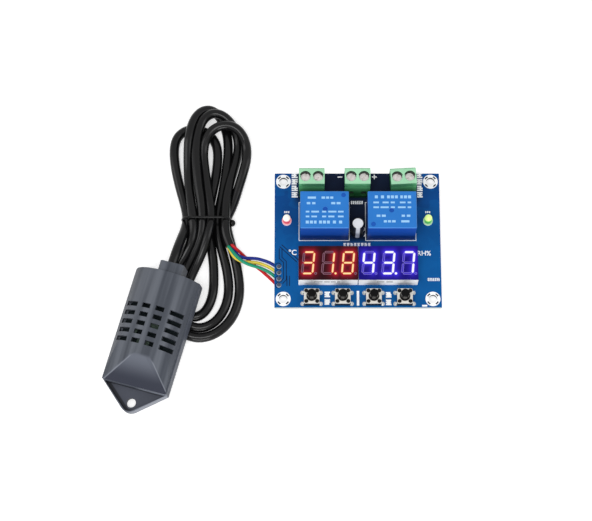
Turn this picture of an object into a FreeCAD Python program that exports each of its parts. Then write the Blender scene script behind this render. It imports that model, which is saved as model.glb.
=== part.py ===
import FreeCAD, Part
import math
import os

# Temperature and humidity controller: a two-relay board with two three-digit
# displays, three screw terminals and four push buttons, wired to a vented
# sensor probe by a bundled four-core lead. Sizes are in millimetres.
# The origin is the centre of the mounting holes on the board's underside.
# X runs to the right, Y away from the buttons, Z up.

os.makedirs("parts", exist_ok=True)
V = FreeCAD.Vector

# Board and the surface it stands on
board_w = 66.0
board_d = 56.0
board_t = 1.6
tail_len = 2.0                 # solder tails below the underside
mount_inset = 3.5              # hole centre to each edge
mount_r = 1.7
plating_t = 0.05
pad_r = 2.95
pad_t = 0.06
pad_slot_len = 1.35            # four bare slots in each mounting pad
pad_slot_w = 0.36
pad_slot_at = 2.4
lead_hole_r = 0.5
floor_z = -tail_len

# Leads and solder
lead_side = 0.6
joint_r = 0.85
joint_tip_r = 0.3

# Relays
relay_l = 19.1
relay_d = 15.3
relay_h = 15.4                 # above the board
relay_gap = 7.4                # between the two cases
relay_edge = 0.4
relay_stand = 0.35             # case edge above the board
relay_base_h = 1.1
relay_wall = 0.85
relay_base_clear = 0.05
relay_dimple_r = 0.95
relay_dimple_depth = 0.35
relay_dimple_off = 0.25
relay_mark_x = 7.45            # ring mark in one corner
relay_mark_y = 6.0
relay_mark_r = 0.95
relay_mark_w = 0.18
relay_mark_depth = 0.1
relay_pin_common = -7.1        # pin places from the case centre
relay_pin_coil = -5.1
relay_pin_contact = 7.1
relay_pin_half = 6.0

# Displays
display_w = 23.3
display_d = 13.85
display_h = 7.3
display_gap = 0.35
face_t = 0.35
well_t = 0.5
digit_pitch = 7.8
digit_h = 9.7
digit_w = 5.0                  # square digit before its slant
digit_slant = math.radians(5.5)
seg_t = 0.95
seg_gap = 0.12
dot_r = 0.55
dot_x = 2.85
dot_y = -4.35
display_pin_pitch = 2.54
display_pin_row = 5.08
display_pin_count = 6
left_reading = ("3", "1.", "8")
right_reading = ("4", "3.", "7")

# Push buttons
button_pitch = 12.2
button_side = 6.0
button_seat = 0.2              # body above the board
button_body_h = 3.0
button_cover_t = 0.3
button_cover_side = 6.1
button_cover_corner = 0.4
button_top = 8.0               # stem top above the board
button_stem_r = 1.7
button_ring_r = 1.9            # hole in the cover round the stem
button_flange_r = 2.1
button_flange_t = 0.7
button_well_r = 2.35
button_travel = 0.25
button_play = 0.05
button_rivet_at = 2.15
button_rivet_r = 0.55
button_rivet_h = 0.2
button_leg_x = 3.5
button_leg_y = 2.25
button_leg_w = 0.7
button_leg_t = 0.3
button_leg_z = 0.9

# Screw terminals; local y is 0 on the line of the screws
terminal_pitch = 18.2
terminal_pole = 5.08
terminal_h = 10.2
terminal_top_front = 3.1
terminal_top_back = 3.05
terminal_foot = 5.4
terminal_foot_h = 2.2
terminal_foot_top = 6.8
terminal_wire_side = 4.1
terminal_wire_edge = 8.4
terminal_turn = 3.2            # the right block sits slightly turned
head_r = 1.9
head_h = 1.3
head_clear = 0.1
head_recess = 1.9
head_slot_w = 0.6
head_slot_depth = 0.7
shank_r = 1.45
shank_clear = 0.1
thread_clear = 0.05
cage_w = 3.9
cage_d = 4.4
cage_front = -2.2
cage_z = 0.75
cage_h = 4.0
cage_side = 0.5
cage_bottom = 0.6
cage_top = 0.9
cage_travel = 1.5
cage_clear = 0.1
entry_w = 3.3
entry_low = 1.0
entry_h = 3.6
funnel = 0.35
funnel_depth = 0.5
tongue_w = 2.4
tongue_t = 0.5
tongue_z = 3.1
tongue_tip = 1.6
pin_leg_front = -4.3
pin_w = 1.0
window_w = 2.0
window_low = 2.1
window_high = 4.9
screw_slot_angles = (80.0, 48.0, 62.0, 55.0, 60.0, 32.0)

# Indicator lamps
led_x_inset = 4.85
led_r = 1.5
led_flange_r = 1.9
led_flange_h = 1.0
led_h = 5.3
led_lead_half = 1.27

# Electrolytic capacitor
cap_x = -0.1
cap_r = 2.5
cap_h = 11.0
cap_sleeve_t = 0.15
cap_rim = 0.4
cap_groove_z = 1.7
cap_groove_r = 0.22
cap_lead_half = 1.0

# Places down the board, from its back edge
terminal_back_gap = 0.75
relay_back_gap = 2.6           # terminal foot to relay
display_back_gap = 4.75        # relay to display
button_back_gap = 2.45         # display to button cover
cap_behind_front = 3.4         # capacitor centre behind the relays' front

# Sensor wires soldered along the left edge
sensor_x_inset = 1.8
sensor_first_y = -11.2
sensor_pitch = 2.55
sensor_joint_r = 1.0
sensor_joint_top = 0.9
sensor_joint_under = 1.6
strand_r = 0.45
strand_len = 1.6
strand_z = -1.05
strand_angles = (36.0, 43.0, 48.0, 46.0)

# Parts under the board
mcu_l = 6.5
mcu_w = 4.4
mcu_h = 1.0
mcu_pins = 10
mcu_pitch = 0.65
driver_l = 9.9
driver_w = 3.9
driver_h = 1.45
driver_pins = 8
driver_pitch = 1.27
chip_stand = 0.1
chip_lead_t = 0.2
chip_lead_out = 1.0
passive_l = 1.6
passive_w = 0.8
passive_h = 0.5
passive_count = 6
passive_column_pitch = 1.4
passive_row_pitch = 1.9

# Sensor probe; local x is across, y towards the lead, z up from its back
probe_len = 45.5
probe_w = 25.6
probe_h = 14.0
probe_wall = 1.6
probe_edge_h = 6.0             # where the arched front starts
hip_x = 3.0                    # half the nose's width where it meets the ridge
hip_start = 5.3
hip_rise = 0.2                 # per millimetre of length
base_w = 26.6
base_h = 5.0
base_floor = 1.6
base_lip = 0.3
wedge_run = 11.25
tab_r = 4.1
tab_reach = 6.0
tab_h = 3.6
tab_rim = 0.9
tab_hole_r = 1.85
slot_rows = 5
slot_first = 30.45             # first row from the wedge end
slot_pitch = 3.56
slot_h = 1.9
slot_columns = ((-9.1, 5.0), (-2.8, 3.4), (2.8, 3.4), (9.1, 5.0))
boss_w = 9.6
boss_len = 4.3
boss_low = 2.2
boss_h = 9.9
boss_x = 1.5
gland_x = 0.1
boss_edge = 0.9
gland_h = 5.6
rail_w = 1.6
rail_h = 4.0
sensor_board_t = 1.2
sensor_board_clear = 0.2
sensor_margin = 2.0
probe_angle = 16.24
probe_tilt = 3.42
probe_roll = 6.26
probe_x = -86.58
probe_y = -60.37

# Lead and its cores
lead_d = 3.6
core_d = 1.3
hank_top = 6.4
loop_top = 1.55
tie_r = 0.5
knot_r = 1.4
knot_z = 1.2
tie_y = 7.9

board_top = board_t
back_edge = board_d / 2
left_edge = -board_w / 2
terminal_y = back_edge - terminal_back_gap - terminal_wire_side
relay_y = terminal_y - terminal_foot - relay_back_gap - relay_d / 2
relay_x = (relay_gap + relay_l) / 2
relay_front = relay_y - relay_d / 2
display_y = relay_front - display_back_gap - display_d / 2
display_x = (display_gap + display_w) / 2
button_y = display_y - display_d / 2 - button_back_gap - button_cover_side / 2
cap_y = relay_front + cap_behind_front
led_x = board_w / 2 - led_x_inset
led_y = relay_y + 0.3
sensor_x = left_edge + sensor_x_inset
sensor_spots = [(sensor_x, sensor_first_y - sensor_pitch * i) for i in range(4)]


def save(name, shapes):
    """Writes one sub-part, which may be a group of separate solids."""
    if isinstance(shapes, (list, tuple)):
        shape = Part.makeCompound(list(shapes))
    else:
        shape = shapes
    if not shape.isValid():
        print("not valid:", name)
    shape.exportStep("parts/" + name + ".step")
    return shape


def block(cx, cy, z0, dx, dy, dz):
    """A box centred on cx, cy that stands on z0."""
    return Part.makeBox(dx, dy, dz, V(cx - dx / 2, cy - dy / 2, z0))


def rod(cx, cy, z0, r, h):
    return Part.makeCylinder(r, h, V(cx, cy, z0))


def octagon(cx, cy, z, r):
    """The corners of an eight-sided ring, which stands for a small circle that repeats often."""
    turns = [math.radians(22.5 + 45 * k) for k in range(8)]
    return [V(cx + r * math.cos(a), cy + r * math.sin(a), z) for a in turns]


def pin_rod(cx, cy, z0, r, h):
    """A small eight-sided rod."""
    loop = octagon(cx, cy, z0, r)
    return Part.Face(Part.makePolygon(loop + loop[:1])).extrude(V(0, 0, h))


def pin_cone(cx, cy, z0, r0, z1, r1):
    """A small eight-sided cone from one height to another."""
    loops = [octagon(cx, cy, z, r) for z, r in ((z0, r0), (z1, r1))]
    return Part.makeLoft([Part.makePolygon(loop + loop[:1]) for loop in loops], True, True)


def fuse_all(shapes):
    whole = shapes[0]
    if len(shapes) > 1:
        whole = shapes[0].multiFuse(shapes[1:])
    return whole.removeSplitter()


def prism(points, z0, h):
    """A straight-sided solid from plan points."""
    loop = [V(x, y, z0) for x, y in points]
    face = Part.Face(Part.makePolygon(loop + loop[:1]))
    return face.extrude(V(0, 0, h))


def upright_edges(shape):
    picked = []
    for edge in shape.Edges:
        if len(edge.Vertexes) == 2:
            a, b = (v.Point for v in edge.Vertexes)
            if abs(a.x - b.x) < 1e-6 and abs(a.y - b.y) < 1e-6:
                picked.append(edge)
    return picked


def edges_at(shape, z):
    return [e for e in shape.Edges if abs(e.BoundBox.ZMin - z) < 1e-6 and abs(e.BoundBox.ZMax - z) < 1e-6]


def relay_pin_spots(cx, turned):
    side = -1 if turned else 1
    spots = [(relay_pin_common, 0.0)]
    spots += [(relay_pin_coil, s * relay_pin_half) for s in (-1, 1)]
    spots += [(relay_pin_contact, s * relay_pin_half) for s in (-1, 1)]
    return [(cx + side * x, relay_y + side * y) for x, y in spots]


def display_pin_spots(cx):
    first = -(display_pin_count - 1) / 2
    return [
        (cx + (first + i) * display_pin_pitch, display_y + row * display_pin_row)
        for row in (-1, 1)
        for i in range(display_pin_count)
    ]


def button_leg_spots(cx):
    return [(cx + sx * button_leg_x, button_y + sy * button_leg_y) for sx in (-1, 1) for sy in (-1, 1)]


def terminal_place(cx, turn):
    """Carries a terminal's own frame to its place on the board."""
    return FreeCAD.Placement(V(cx, terminal_y, board_top), FreeCAD.Rotation(V(0, 0, 1), turn))


button_xs = [(i - 1.5) * button_pitch for i in range(4)]
terminals = (
    ("left", -terminal_pitch, 0.0),
    ("middle", 0.0, 0.0),
    ("right", terminal_pitch, terminal_turn),
)
pole_xs = (-terminal_pole / 2, terminal_pole / 2)
pin_leg_mid = pin_leg_front + tongue_t / 2
relays = (("left", -relay_x, False), ("right", relay_x, True))
displays = (("left", -display_x, left_reading), ("right", display_x, right_reading))
led_spots = [(s * led_x, led_y + t * led_lead_half) for s in (-1, 1) for t in (-1, 1)]
cap_spots = [(cap_x, cap_y + t * cap_lead_half) for t in (-1, 1)]
terminal_spots = []
for terminal_name, terminal_cx, turn in terminals:
    place = terminal_place(terminal_cx, turn)
    for pole in pole_xs:
        spot = place.multVec(V(pole, pin_leg_mid, 0))
        terminal_spots.append((spot.x, spot.y))
part_spots = led_spots + cap_spots
for relay_name, relay_cx, turned in relays:
    part_spots += relay_pin_spots(relay_cx, turned)
for display_name, display_cx, reading in displays:
    part_spots += display_pin_spots(display_cx)
leg_spots = []
for button_cx in button_xs:
    leg_spots += button_leg_spots(button_cx)


# The board has a mounting hole in each corner and a hole for every lead.
mount_spots = [
    (sx * (board_w / 2 - mount_inset), sy * (board_d / 2 - mount_inset))
    for sx in (-1, 1)
    for sy in (-1, 1)
]
drills = [rod(x, y, -1, mount_r + plating_t, board_t + 2) for x, y in mount_spots]
for x, y in part_spots + leg_spots + terminal_spots + sensor_spots:
    drills.append(pin_rod(x, y, -1, lead_hole_r, board_t + 2))
board = block(0, 0, 0, board_w, board_d, board_t).cut(drills)
save("circuit_board", board)


def hole_plating(cx, cy):
    """A tinned barrel through the board with a flat ring on each side."""
    ring_low = rod(cx, cy, -pad_t, pad_r, pad_t)
    ring_high = rod(cx, cy, board_t, pad_r, pad_t)
    barrel = rod(cx, cy, -pad_t, mount_r + plating_t, board_t + 2 * pad_t)
    body = fuse_all([ring_low, barrel, ring_high]).cut(rod(cx, cy, -1, mount_r, board_t + 2))
    slots = []
    for k in range(4):
        slot = block(pad_slot_at, 0, board_t, pad_slot_w, pad_slot_len, 1)
        slot.rotate(V(0, 0, 0), V(0, 0, 1), 45 + 90 * k)
        slot.translate(V(cx, cy, 0))
        slots.append(slot)
    return body.cut(slots)


save("hole_plating", [hole_plating(x, y) for x, y in mount_spots])


def relay_case(cx, turned):
    """A sealed cover with softened edges, a dimple and a ring mark, open underneath for its base."""
    low = board_top + relay_stand
    height = relay_h - relay_stand
    case = block(0, 0, low, relay_l, relay_d, height)
    case = case.makeFillet(relay_edge, upright_edges(case) + edges_at(case, low + height))
    inner_l = relay_l - 2 * relay_wall
    inner_d = relay_d - 2 * relay_wall
    pocket = block(0, 0, low - 1, inner_l, inner_d, 1 + relay_base_h - relay_stand)
    top = low + height
    dimple = rod(relay_dimple_off, relay_dimple_off, top - relay_dimple_depth, relay_dimple_r, 1)
    mark = rod(relay_mark_x, relay_mark_y, top - relay_mark_depth, relay_mark_r, 1)
    mark = mark.cut(rod(relay_mark_x, relay_mark_y, 0, relay_mark_r - relay_mark_w, top + 2))
    case = case.cut([pocket, dimple, mark])
    if turned:
        case.rotate(V(0, 0, 0), V(0, 0, 1), 180)
    case.translate(V(cx, relay_y, 0))
    return case


bases = []
for relay_name, relay_cx, turned in relays:
    save("relay_" + relay_name + "_case", relay_case(relay_cx, turned))
    shrink = 2 * (relay_wall + relay_base_clear)
    bases.append(block(relay_cx, relay_y, board_top, relay_l - shrink, relay_d - shrink, relay_base_h))
save("relay_bases", bases)

# Which strokes of a digit are lit: top, upper right, lower right, bottom,
# lower left, upper left, middle.
strokes_lit = {
    "1": (0, 1, 1, 0, 0, 0, 0),
    "3": (1, 1, 1, 1, 0, 0, 1),
    "4": (0, 1, 1, 0, 0, 1, 1),
    "7": (1, 1, 1, 0, 0, 0, 0),
    "8": (1, 1, 1, 1, 1, 1, 1),
}


def stroke_outline(length, lying):
    """A six-cornered stroke about its centre."""
    half = length / 2 - seg_gap
    side = seg_t / 2
    points = [(-half, 0), (-half + side, side), (half - side, side), (half, 0)]
    points += [(half - side, -side), (-half + side, -side)]
    if lying:
        return points
    return [(y, x) for x, y in points]


def digit_strokes():
    """The seven stroke outlines of an upright digit about its centre."""
    reach_x = (digit_w - seg_t) / 2
    reach_y = (digit_h - seg_t) / 2
    lying = stroke_outline(2 * reach_x, True)
    standing = stroke_outline(reach_y, False)
    places = (
        (lying, 0, reach_y), (standing, reach_x, reach_y / 2), (standing, reach_x, -reach_y / 2),
        (lying, 0, -reach_y), (standing, -reach_x, -reach_y / 2), (standing, -reach_x, reach_y / 2),
        (lying, 0, 0),
    )
    return [[(x + dx, y + dy) for x, y in outline] for outline, dx, dy in places]


def make_display(name, cx, reading):
    face_z = board_top + display_h - face_t
    well_z = face_z - well_t
    lean = math.tan(digit_slant)
    lit = []
    unlit = []
    for place, sign in enumerate(reading):
        dx = cx + (place - 1) * digit_pitch
        for outline, on in zip(digit_strokes(), strokes_lit[sign[0]]):
            points = [(dx + x + y * lean, display_y + y) for x, y in outline]
            (lit if on else unlit).append(prism(points, well_z, well_t + face_t))
        dot = rod(dx + dot_x, display_y + dot_y, well_z, dot_r, well_t + face_t)
        (lit if sign.endswith(".") else unlit).append(dot)
    housing = block(cx, display_y, board_top, display_w, display_d, display_h - face_t)
    face = block(cx, display_y, face_z, display_w, display_d, face_t)
    save("display_" + name + "_housing", housing.cut(lit + unlit))
    save("display_" + name + "_face", face.cut(lit + unlit))
    save("display_" + name + "_lit_strokes", lit)
    save("display_" + name + "_unlit_strokes", unlit)


for display_name, display_cx, reading in displays:
    make_display(display_name, display_cx, reading)


def lead(x, y, side=lead_side):
    """A square lead through the board, from under a part to the solder."""
    return block(x, y, 0, side, side, board_top)


save("component_leads", [lead(x, y) for x, y in part_spots])



# Under the board each lead stands in a cone of solder.
joint_spots = part_spots + leg_spots + terminal_spots
save("solder_joints", [pin_cone(x, y, 0, joint_r, floor_z, joint_tip_r) for x, y in joint_spots])

# Push buttons: moulded body with riveted posts, steel cover, sprung stem.
body_low = board_top + button_seat
body_high = body_low + button_body_h
cover_high = body_high + button_cover_t
flange_high = body_high - button_play
flange_low = flange_high - button_flange_t
well_low = flange_low - button_travel - button_play
rivets = [(sx * button_rivet_at, sy * button_rivet_at) for sx in (-1, 1) for sy in (-1, 1)]


def button_base(cx):
    body = block(cx, button_y, body_low, button_side, button_side, button_body_h)
    pips = [block(cx + x, button_y + y, board_top, 1.0, 1.0, button_seat) for x, y in rivets]
    posts = [
        pin_rod(cx + x, button_y + y, body_high, button_rivet_r, button_cover_t + button_rivet_h)
        for x, y in rivets
    ]
    body = fuse_all([body] + pips + posts)
    return body.cut(rod(cx, button_y, well_low, button_well_r, button_body_h))


def button_cover(cx):
    plate = block(cx, button_y, body_high, button_cover_side, button_cover_side, button_cover_t)
    plate = plate.makeChamfer(button_cover_corner, upright_edges(plate))
    holes = [pin_rod(cx + x, button_y + y, body_high - 1, button_rivet_r, 2) for x, y in rivets]
    return plate.cut(holes + [rod(cx, button_y, body_high - 1, button_ring_r, 2)])


def button_stem(cx):
    top = board_top + button_top
    shaft = rod(cx, button_y, flange_low, button_stem_r, top - flange_low)
    shaft = shaft.makeChamfer(0.25, edges_at(shaft, top))
    return shaft.fuse(rod(cx, button_y, flange_low, button_flange_r, button_flange_t)).removeSplitter()


def button_leg(x, y, side):
    """A flat leg that leaves the body sideways and turns down through the board."""
    inner = abs(button_leg_x) - button_side / 2
    drop = block(x, y, 0, button_leg_t, button_leg_w, board_top + button_leg_z)
    reach = block(x - side * inner / 2, y, board_top + button_leg_z - button_leg_t,
                  inner, button_leg_w, button_leg_t)
    return drop.fuse(reach).removeSplitter()


save("button_bases", [button_base(cx) for cx in button_xs])
save("button_covers", [button_cover(cx) for cx in button_xs])
legs = []
for number, button_cx in enumerate(button_xs, 1):
    save("button_%d_stem" % number, button_stem(button_cx))
    for x, y in button_leg_spots(button_cx):
        legs.append(button_leg(x, y, 1 if x > button_cx else -1))
save("button_legs", legs)

# Screw terminals: a moulded block with two poles. Turning a captive screw lifts
# its cage, which clamps the wire against the tongue of the pin.
head_low = terminal_h - head_recess - head_h
cavity_low = cage_z - cage_clear
cavity_high = cage_z + cage_h + cage_travel + cage_clear
cavity_front = cage_front - cage_clear
cavity_back = cage_front + cage_d + cage_clear
shank_low = tongue_z + tongue_t + cage_clear


def terminal_block():
    profile = [
        (-terminal_foot, 0), (-terminal_foot, terminal_foot_h), (-terminal_top_front, terminal_foot_top),
        (-terminal_top_front, terminal_h), (terminal_top_back, terminal_h),
        (terminal_wire_side, terminal_wire_edge), (terminal_wire_side, 0),
    ]
    width = 2 * terminal_pole
    loop = [V(-width / 2, y, z) for y, z in profile]
    solid = Part.Face(Part.makePolygon(loop + loop[:1])).extrude(V(width, 0, 0))
    cuts = []
    for pole in pole_xs:
        cuts.append(rod(pole, 0, head_low, head_r + head_clear, terminal_h))
        cuts.append(rod(pole, 0, cavity_high - 1, shank_r + shank_clear, head_low - cavity_high + 2))
        cavity_w = cage_w + 2 * cage_clear
        middle = (cavity_front + cavity_back) / 2
        cuts.append(block(pole, middle, cavity_low, cavity_w, cavity_back - cavity_front,
                          cavity_high - cavity_low))
        cuts.append(Part.makeBox(entry_w, terminal_wire_side, entry_h, V(pole - entry_w / 2, 1, entry_low)))
        cuts.append(entry_funnel(pole))
        cuts.append(Part.makeBox(tongue_w, cavity_front - pin_leg_front, tongue_t,
                                 V(pole - tongue_w / 2, pin_leg_front, tongue_z)))
        cuts.append(Part.makeBox(tongue_w, tongue_t, tongue_z + tongue_t,
                                 V(pole - tongue_w / 2, pin_leg_front, 0)))
        cuts.append(Part.makeBox(window_w, terminal_foot + pin_leg_front, window_high - window_low,
                                 V(pole - window_w / 2, -terminal_foot, window_low)))
    return solid.cut(cuts)


def entry_funnel(pole):
    """The widened mouth of a wire entry."""
    loops = []
    for y, grow in ((terminal_wire_side - funnel_depth, 0), (terminal_wire_side, funnel)):
        x0 = pole - entry_w / 2 - grow
        x1 = pole + entry_w / 2 + grow
        z0 = entry_low - grow
        z1 = entry_low + entry_h + grow
        loops.append(Part.makePolygon([V(x0, y, z0), V(x1, y, z0), V(x1, y, z1), V(x0, y, z1), V(x0, y, z0)]))
    return Part.makeLoft(loops, True, True)


def terminal_pin(pole):
    """A bent pin: tongue through the cage, wide leg behind the window, narrow tail."""
    tongue = Part.makeBox(tongue_w, tongue_tip - pin_leg_front, tongue_t,
                          V(pole - tongue_w / 2, pin_leg_front, tongue_z))
    leg = Part.makeBox(tongue_w, tongue_t, tongue_z, V(pole - tongue_w / 2, pin_leg_front, 0))
    tail = Part.makeBox(pin_w * 0.7, tongue_t, board_t, V(pole - pin_w * 0.35, pin_leg_front, -board_t))
    return fuse_all([tongue, leg, tail])


def terminal_screw(pole, angle):
    head = rod(0, 0, head_low, head_r, head_h)
    shank = rod(0, 0, shank_low, shank_r, head_low - shank_low)
    slot = block(0, 0, head_low + head_h - head_slot_depth, 2 * head_r + 1, head_slot_w, 1)
    slot.rotate(V(0, 0, 0), V(0, 0, 1), angle)
    screw = head.fuse(shank).removeSplitter().cut(slot)
    screw.translate(V(pole, 0, 0))
    return screw


def terminal_cage(pole):
    """A square box open towards the wire, with the screw's thread in its roof."""
    middle = cage_front + cage_d / 2
    body = block(pole, middle, cage_z, cage_w, cage_d, cage_h)
    room = block(pole, middle, cage_z + cage_bottom, cage_w - 2 * cage_side, cage_d + 1,
                 cage_h - cage_bottom - cage_top)
    return body.cut([room, rod(pole, 0, cage_z + cage_h / 2, shank_r + thread_clear, cage_h)])


terminal_pins = []
for index, (terminal_name, terminal_cx, turn) in enumerate(terminals):
    place = terminal_place(terminal_cx, turn)
    housing = terminal_block()
    housing.Placement = place
    save("terminal_" + terminal_name + "_housing", housing)
    for number, pole in enumerate(pole_xs, 1):
        pieces = {
            "screw": terminal_screw(pole, screw_slot_angles[2 * index + number - 1]),
            "cage": terminal_cage(pole),
            "pin": terminal_pin(pole),
        }
        for kind, shape in pieces.items():
            shape.Placement = place.multiply(shape.Placement)
            if kind == "pin":
                terminal_pins.append(shape)
            else:
                save("%s_%s_%d" % (terminal_name, kind, number), shape)
save("terminal_pins", terminal_pins)


def indicator(cx):
    """A round lamp: flange with a flat, cylinder and dome."""
    barrel_h = led_h - led_r
    flange = rod(cx, led_y, board_top, led_flange_r, led_flange_h)
    flat = block(cx, led_y + led_flange_r + led_r, board_top - 1, 6, 2 * led_flange_r - 0.2, led_flange_h + 2)
    barrel = rod(cx, led_y, board_top, led_r, barrel_h)
    dome = Part.makeSphere(led_r, V(cx, led_y, board_top + barrel_h))
    return fuse_all([flange.cut(flat), barrel, dome])


save("led_red", indicator(-led_x))
save("led_green", indicator(led_x))

# Capacitor: an aluminium can in a shrunk sleeve that curls over its rim.
can_r = cap_r - cap_sleeve_t
can = rod(cap_x, cap_y, board_top, can_r, cap_h - cap_sleeve_t)
can = can.makeFillet(cap_rim / 2, edges_at(can, board_top + cap_h - cap_sleeve_t))
groove = Part.makeTorus(cap_r + cap_groove_r / 2, cap_groove_r, V(cap_x, cap_y, board_top + cap_groove_z))
sleeve = rod(cap_x, cap_y, board_top + cap_sleeve_t, cap_r, cap_h - cap_sleeve_t)
sleeve = sleeve.makeFillet(cap_rim / 2, edges_at(sleeve, board_top + cap_h))
sleeve = sleeve.cut([can, rod(cap_x, cap_y, board_top, cap_r - cap_rim, cap_h + 1), groove])
can = can.cut(groove)
save("capacitor_can", can)
save("capacitor_sleeve", sleeve)


def sensor_joint(spot, angle):
    """Solder through the board, with the bare end of a core laid into it from below."""
    x, y = spot
    barrel = pin_rod(x, y, 0, lead_hole_r, board_t)
    over = pin_cone(x, y, board_top, sensor_joint_r, board_top + sensor_joint_top, strand_r)
    under = pin_cone(x, y, 0, sensor_joint_r, -sensor_joint_under, strand_r)
    away = V(-math.cos(math.radians(angle)), math.sin(math.radians(angle)), 0)
    strand = Part.makeCylinder(strand_r, strand_len, V(x, y, strand_z), away)
    return fuse_all([barrel, over, under, strand])


sensor_joints = [sensor_joint(s, a) for s, a in zip(sensor_spots, strand_angles)]
save("sensor_joints", sensor_joints)

# Parts soldered flat under the board, between the rows of display pins.
mcu_spot = (-display_x, display_y)
driver_spot = (display_x, display_y)


def chip_body(spot, length, width, height):
    low = -chip_stand - height
    return block(spot[0], spot[1], low, length, width, height)


def chip_leads(spot, width, height, count, pitch):
    """Two rows of bent leads from a flat chip's sides to the board."""
    rows = []
    half_way = chip_stand + height / 2
    for side in (-1, 1):
        for i in range(count):
            x = spot[0] + (i - (count - 1) / 2) * pitch
            start = spot[1] + side * width / 2
            end = start + side * chip_lead_out
            drop = block(x, (start + end) / 2, -half_way, pitch * 0.4, chip_lead_t, half_way)
            foot = block(x, (start + 3 * end) / 4, -chip_lead_t, pitch * 0.4, chip_lead_out / 2, chip_lead_t)
            knee = block(x, (3 * start + end) / 4, -half_way, pitch * 0.4, chip_lead_out / 2, chip_lead_t)
            rows.append(fuse_all([drop, foot, knee]))
    return rows


save("mcu_chip", chip_body(mcu_spot, mcu_l, mcu_w, mcu_h))
save("driver_chip", chip_body(driver_spot, driver_l, driver_w, driver_h))
save("chip_leads", chip_leads(mcu_spot, mcu_w, mcu_h, mcu_pins, mcu_pitch)
     + chip_leads(driver_spot, driver_w, driver_h, driver_pins, driver_pitch))

# Voltage regulator, two relay transistors and three diodes: spot and size
power_parts = (
    (0.0, relay_y + 4.0, 6.5, 3.5, 1.6),
    (-relay_x - 1.5, relay_front - 2.4, 2.9, 1.3, 1.0),
    (relay_x + 1.5, relay_front - 2.4, 2.9, 1.3, 1.0),
    (-relay_x + 4.0, relay_front - 2.4, 2.7, 1.6, 1.1),
    (relay_x - 4.0, relay_front - 2.4, 2.7, 1.6, 1.1),
    (0.0, relay_y - 0.2, 2.7, 1.6, 1.1),
)
save("power_parts", [block(x, y, -h, dx, dy, h) for x, y, dx, dy, h in power_parts])
passives = []
for i in range(passive_count):
    step = i - (passive_count - 1) / 2
    column_y = display_y + step * passive_column_pitch
    passives.append(block(mcu_spot[0] + mcu_l - 0.5, column_y, -passive_h, passive_l, passive_w, passive_h))
    passives.append(block(step * passive_row_pitch, button_y, -passive_h, passive_w, passive_l, passive_h))
save("chip_passives", passives)

# Sensor probe. Each piece is drawn in the probe's own frame, then laid down:
# the lead's loops lift its right side and its lead end.
probe_turn = FreeCAD.Rotation(V(0, 0, 1), -probe_angle)
probe_turn = probe_turn.multiply(FreeCAD.Rotation(V(1, 0, 0), probe_tilt))
probe_turn = probe_turn.multiply(FreeCAD.Rotation(V(0, 1, 0), -probe_roll))


def arch_face(half, edge_h, top_h, low, y):
    """An upright-sided section closed by an arc over the top."""
    left = V(-half, y, low)
    right = V(half, y, low)
    left_up = V(-half, y, edge_h)
    right_up = V(half, y, edge_h)
    crown = Part.Arc(right_up, V(0, y, top_h), left_up).toShape()
    lines = [Part.makeLine(left, right), Part.makeLine(right, right_up)]
    return Part.Face(Part.Wire(lines + [crown, Part.makeLine(left_up, left)]))


def wedge_cut(shift):
    """Everything beyond the sloping end, moved back by a wall when shift is given."""
    reach = 40.0
    slope = math.atan2(probe_h - base_h, wedge_run)
    along = V(0, math.cos(slope), math.sin(slope))
    start = V(-reach / 2, shift / math.sin(slope), base_h)
    points = [start - along * reach, start + along * reach]
    far = V(0, -reach, 0)
    loop = [points[0], points[1], points[1] + far, points[0] + far]
    face = Part.Face(Part.makePolygon(loop + loop[:1]))
    return face.extrude(V(reach, 0, 0))


def hip_cuts(shift):
    """Everything above the two flats beside the sloping end, lowered by a wall when shift is given."""
    reach = 40.0
    rise = probe_h - probe_edge_h
    arch_r = (probe_w * probe_w / 4 + rise * rise) / (2 * rise)
    corner_h = probe_h - arch_r + math.sqrt(arch_r * arch_r - hip_x * hip_x)
    corner_y = (corner_h - base_h) / (probe_h - base_h) * wedge_run
    fall = (corner_h - hip_start - hip_rise * corner_y) / (probe_w / 2 - hip_x)
    lower = shift * math.sqrt(1 + fall * fall + hip_rise * hip_rise)
    cuts = []
    for side in (-1, 1):
        loop = []
        for across, y in ((0, -reach), (probe_w, -reach), (probe_w, reach), (0, reach)):
            z = hip_start + fall * (probe_w / 2 - across) + hip_rise * y - lower
            loop.append(V(side * across, y, z))
        face = Part.Face(Part.makePolygon(loop + loop[:1]))
        cuts.append(face.extrude(V(0, 0, reach)))
    return cuts


def front_cover():
    outer = arch_face(probe_w / 2, probe_edge_h, probe_h, base_h, 0).extrude(V(0, probe_len, 0))
    outer = outer.cut([wedge_cut(0)] + hip_cuts(0))
    boss = Part.makeBox(boss_w, boss_len + 1, boss_h, V(boss_x - boss_w / 2, probe_len - 1, boss_low))
    lying = [e for e in boss.Edges if abs(e.BoundBox.YLength - boss_len - 1) < 1e-6]
    boss = boss.makeChamfer(boss_edge, lying)
    boss = boss.cut(Part.makeBox(base_w, 1 + base_lip, base_h, V(-base_w / 2, probe_len - 1, 0)))
    inner_half = probe_w / 2 - probe_wall
    inner = arch_face(inner_half, probe_edge_h - probe_wall / 2, probe_h - probe_wall, 0, probe_wall)
    inner = inner.extrude(V(0, probe_len - 2 * probe_wall, 0))
    inner = inner.cut([wedge_cut(probe_wall)] + hip_cuts(probe_wall))
    slots = []
    for x, w in slot_columns:
        for row in range(slot_rows):
            y = slot_first - row * slot_pitch
            slots.append(block(x, y, base_h + 1, w, slot_h, probe_h))
    return outer.cut(inner).fuse(boss).removeSplitter().cut(slots)


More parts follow.
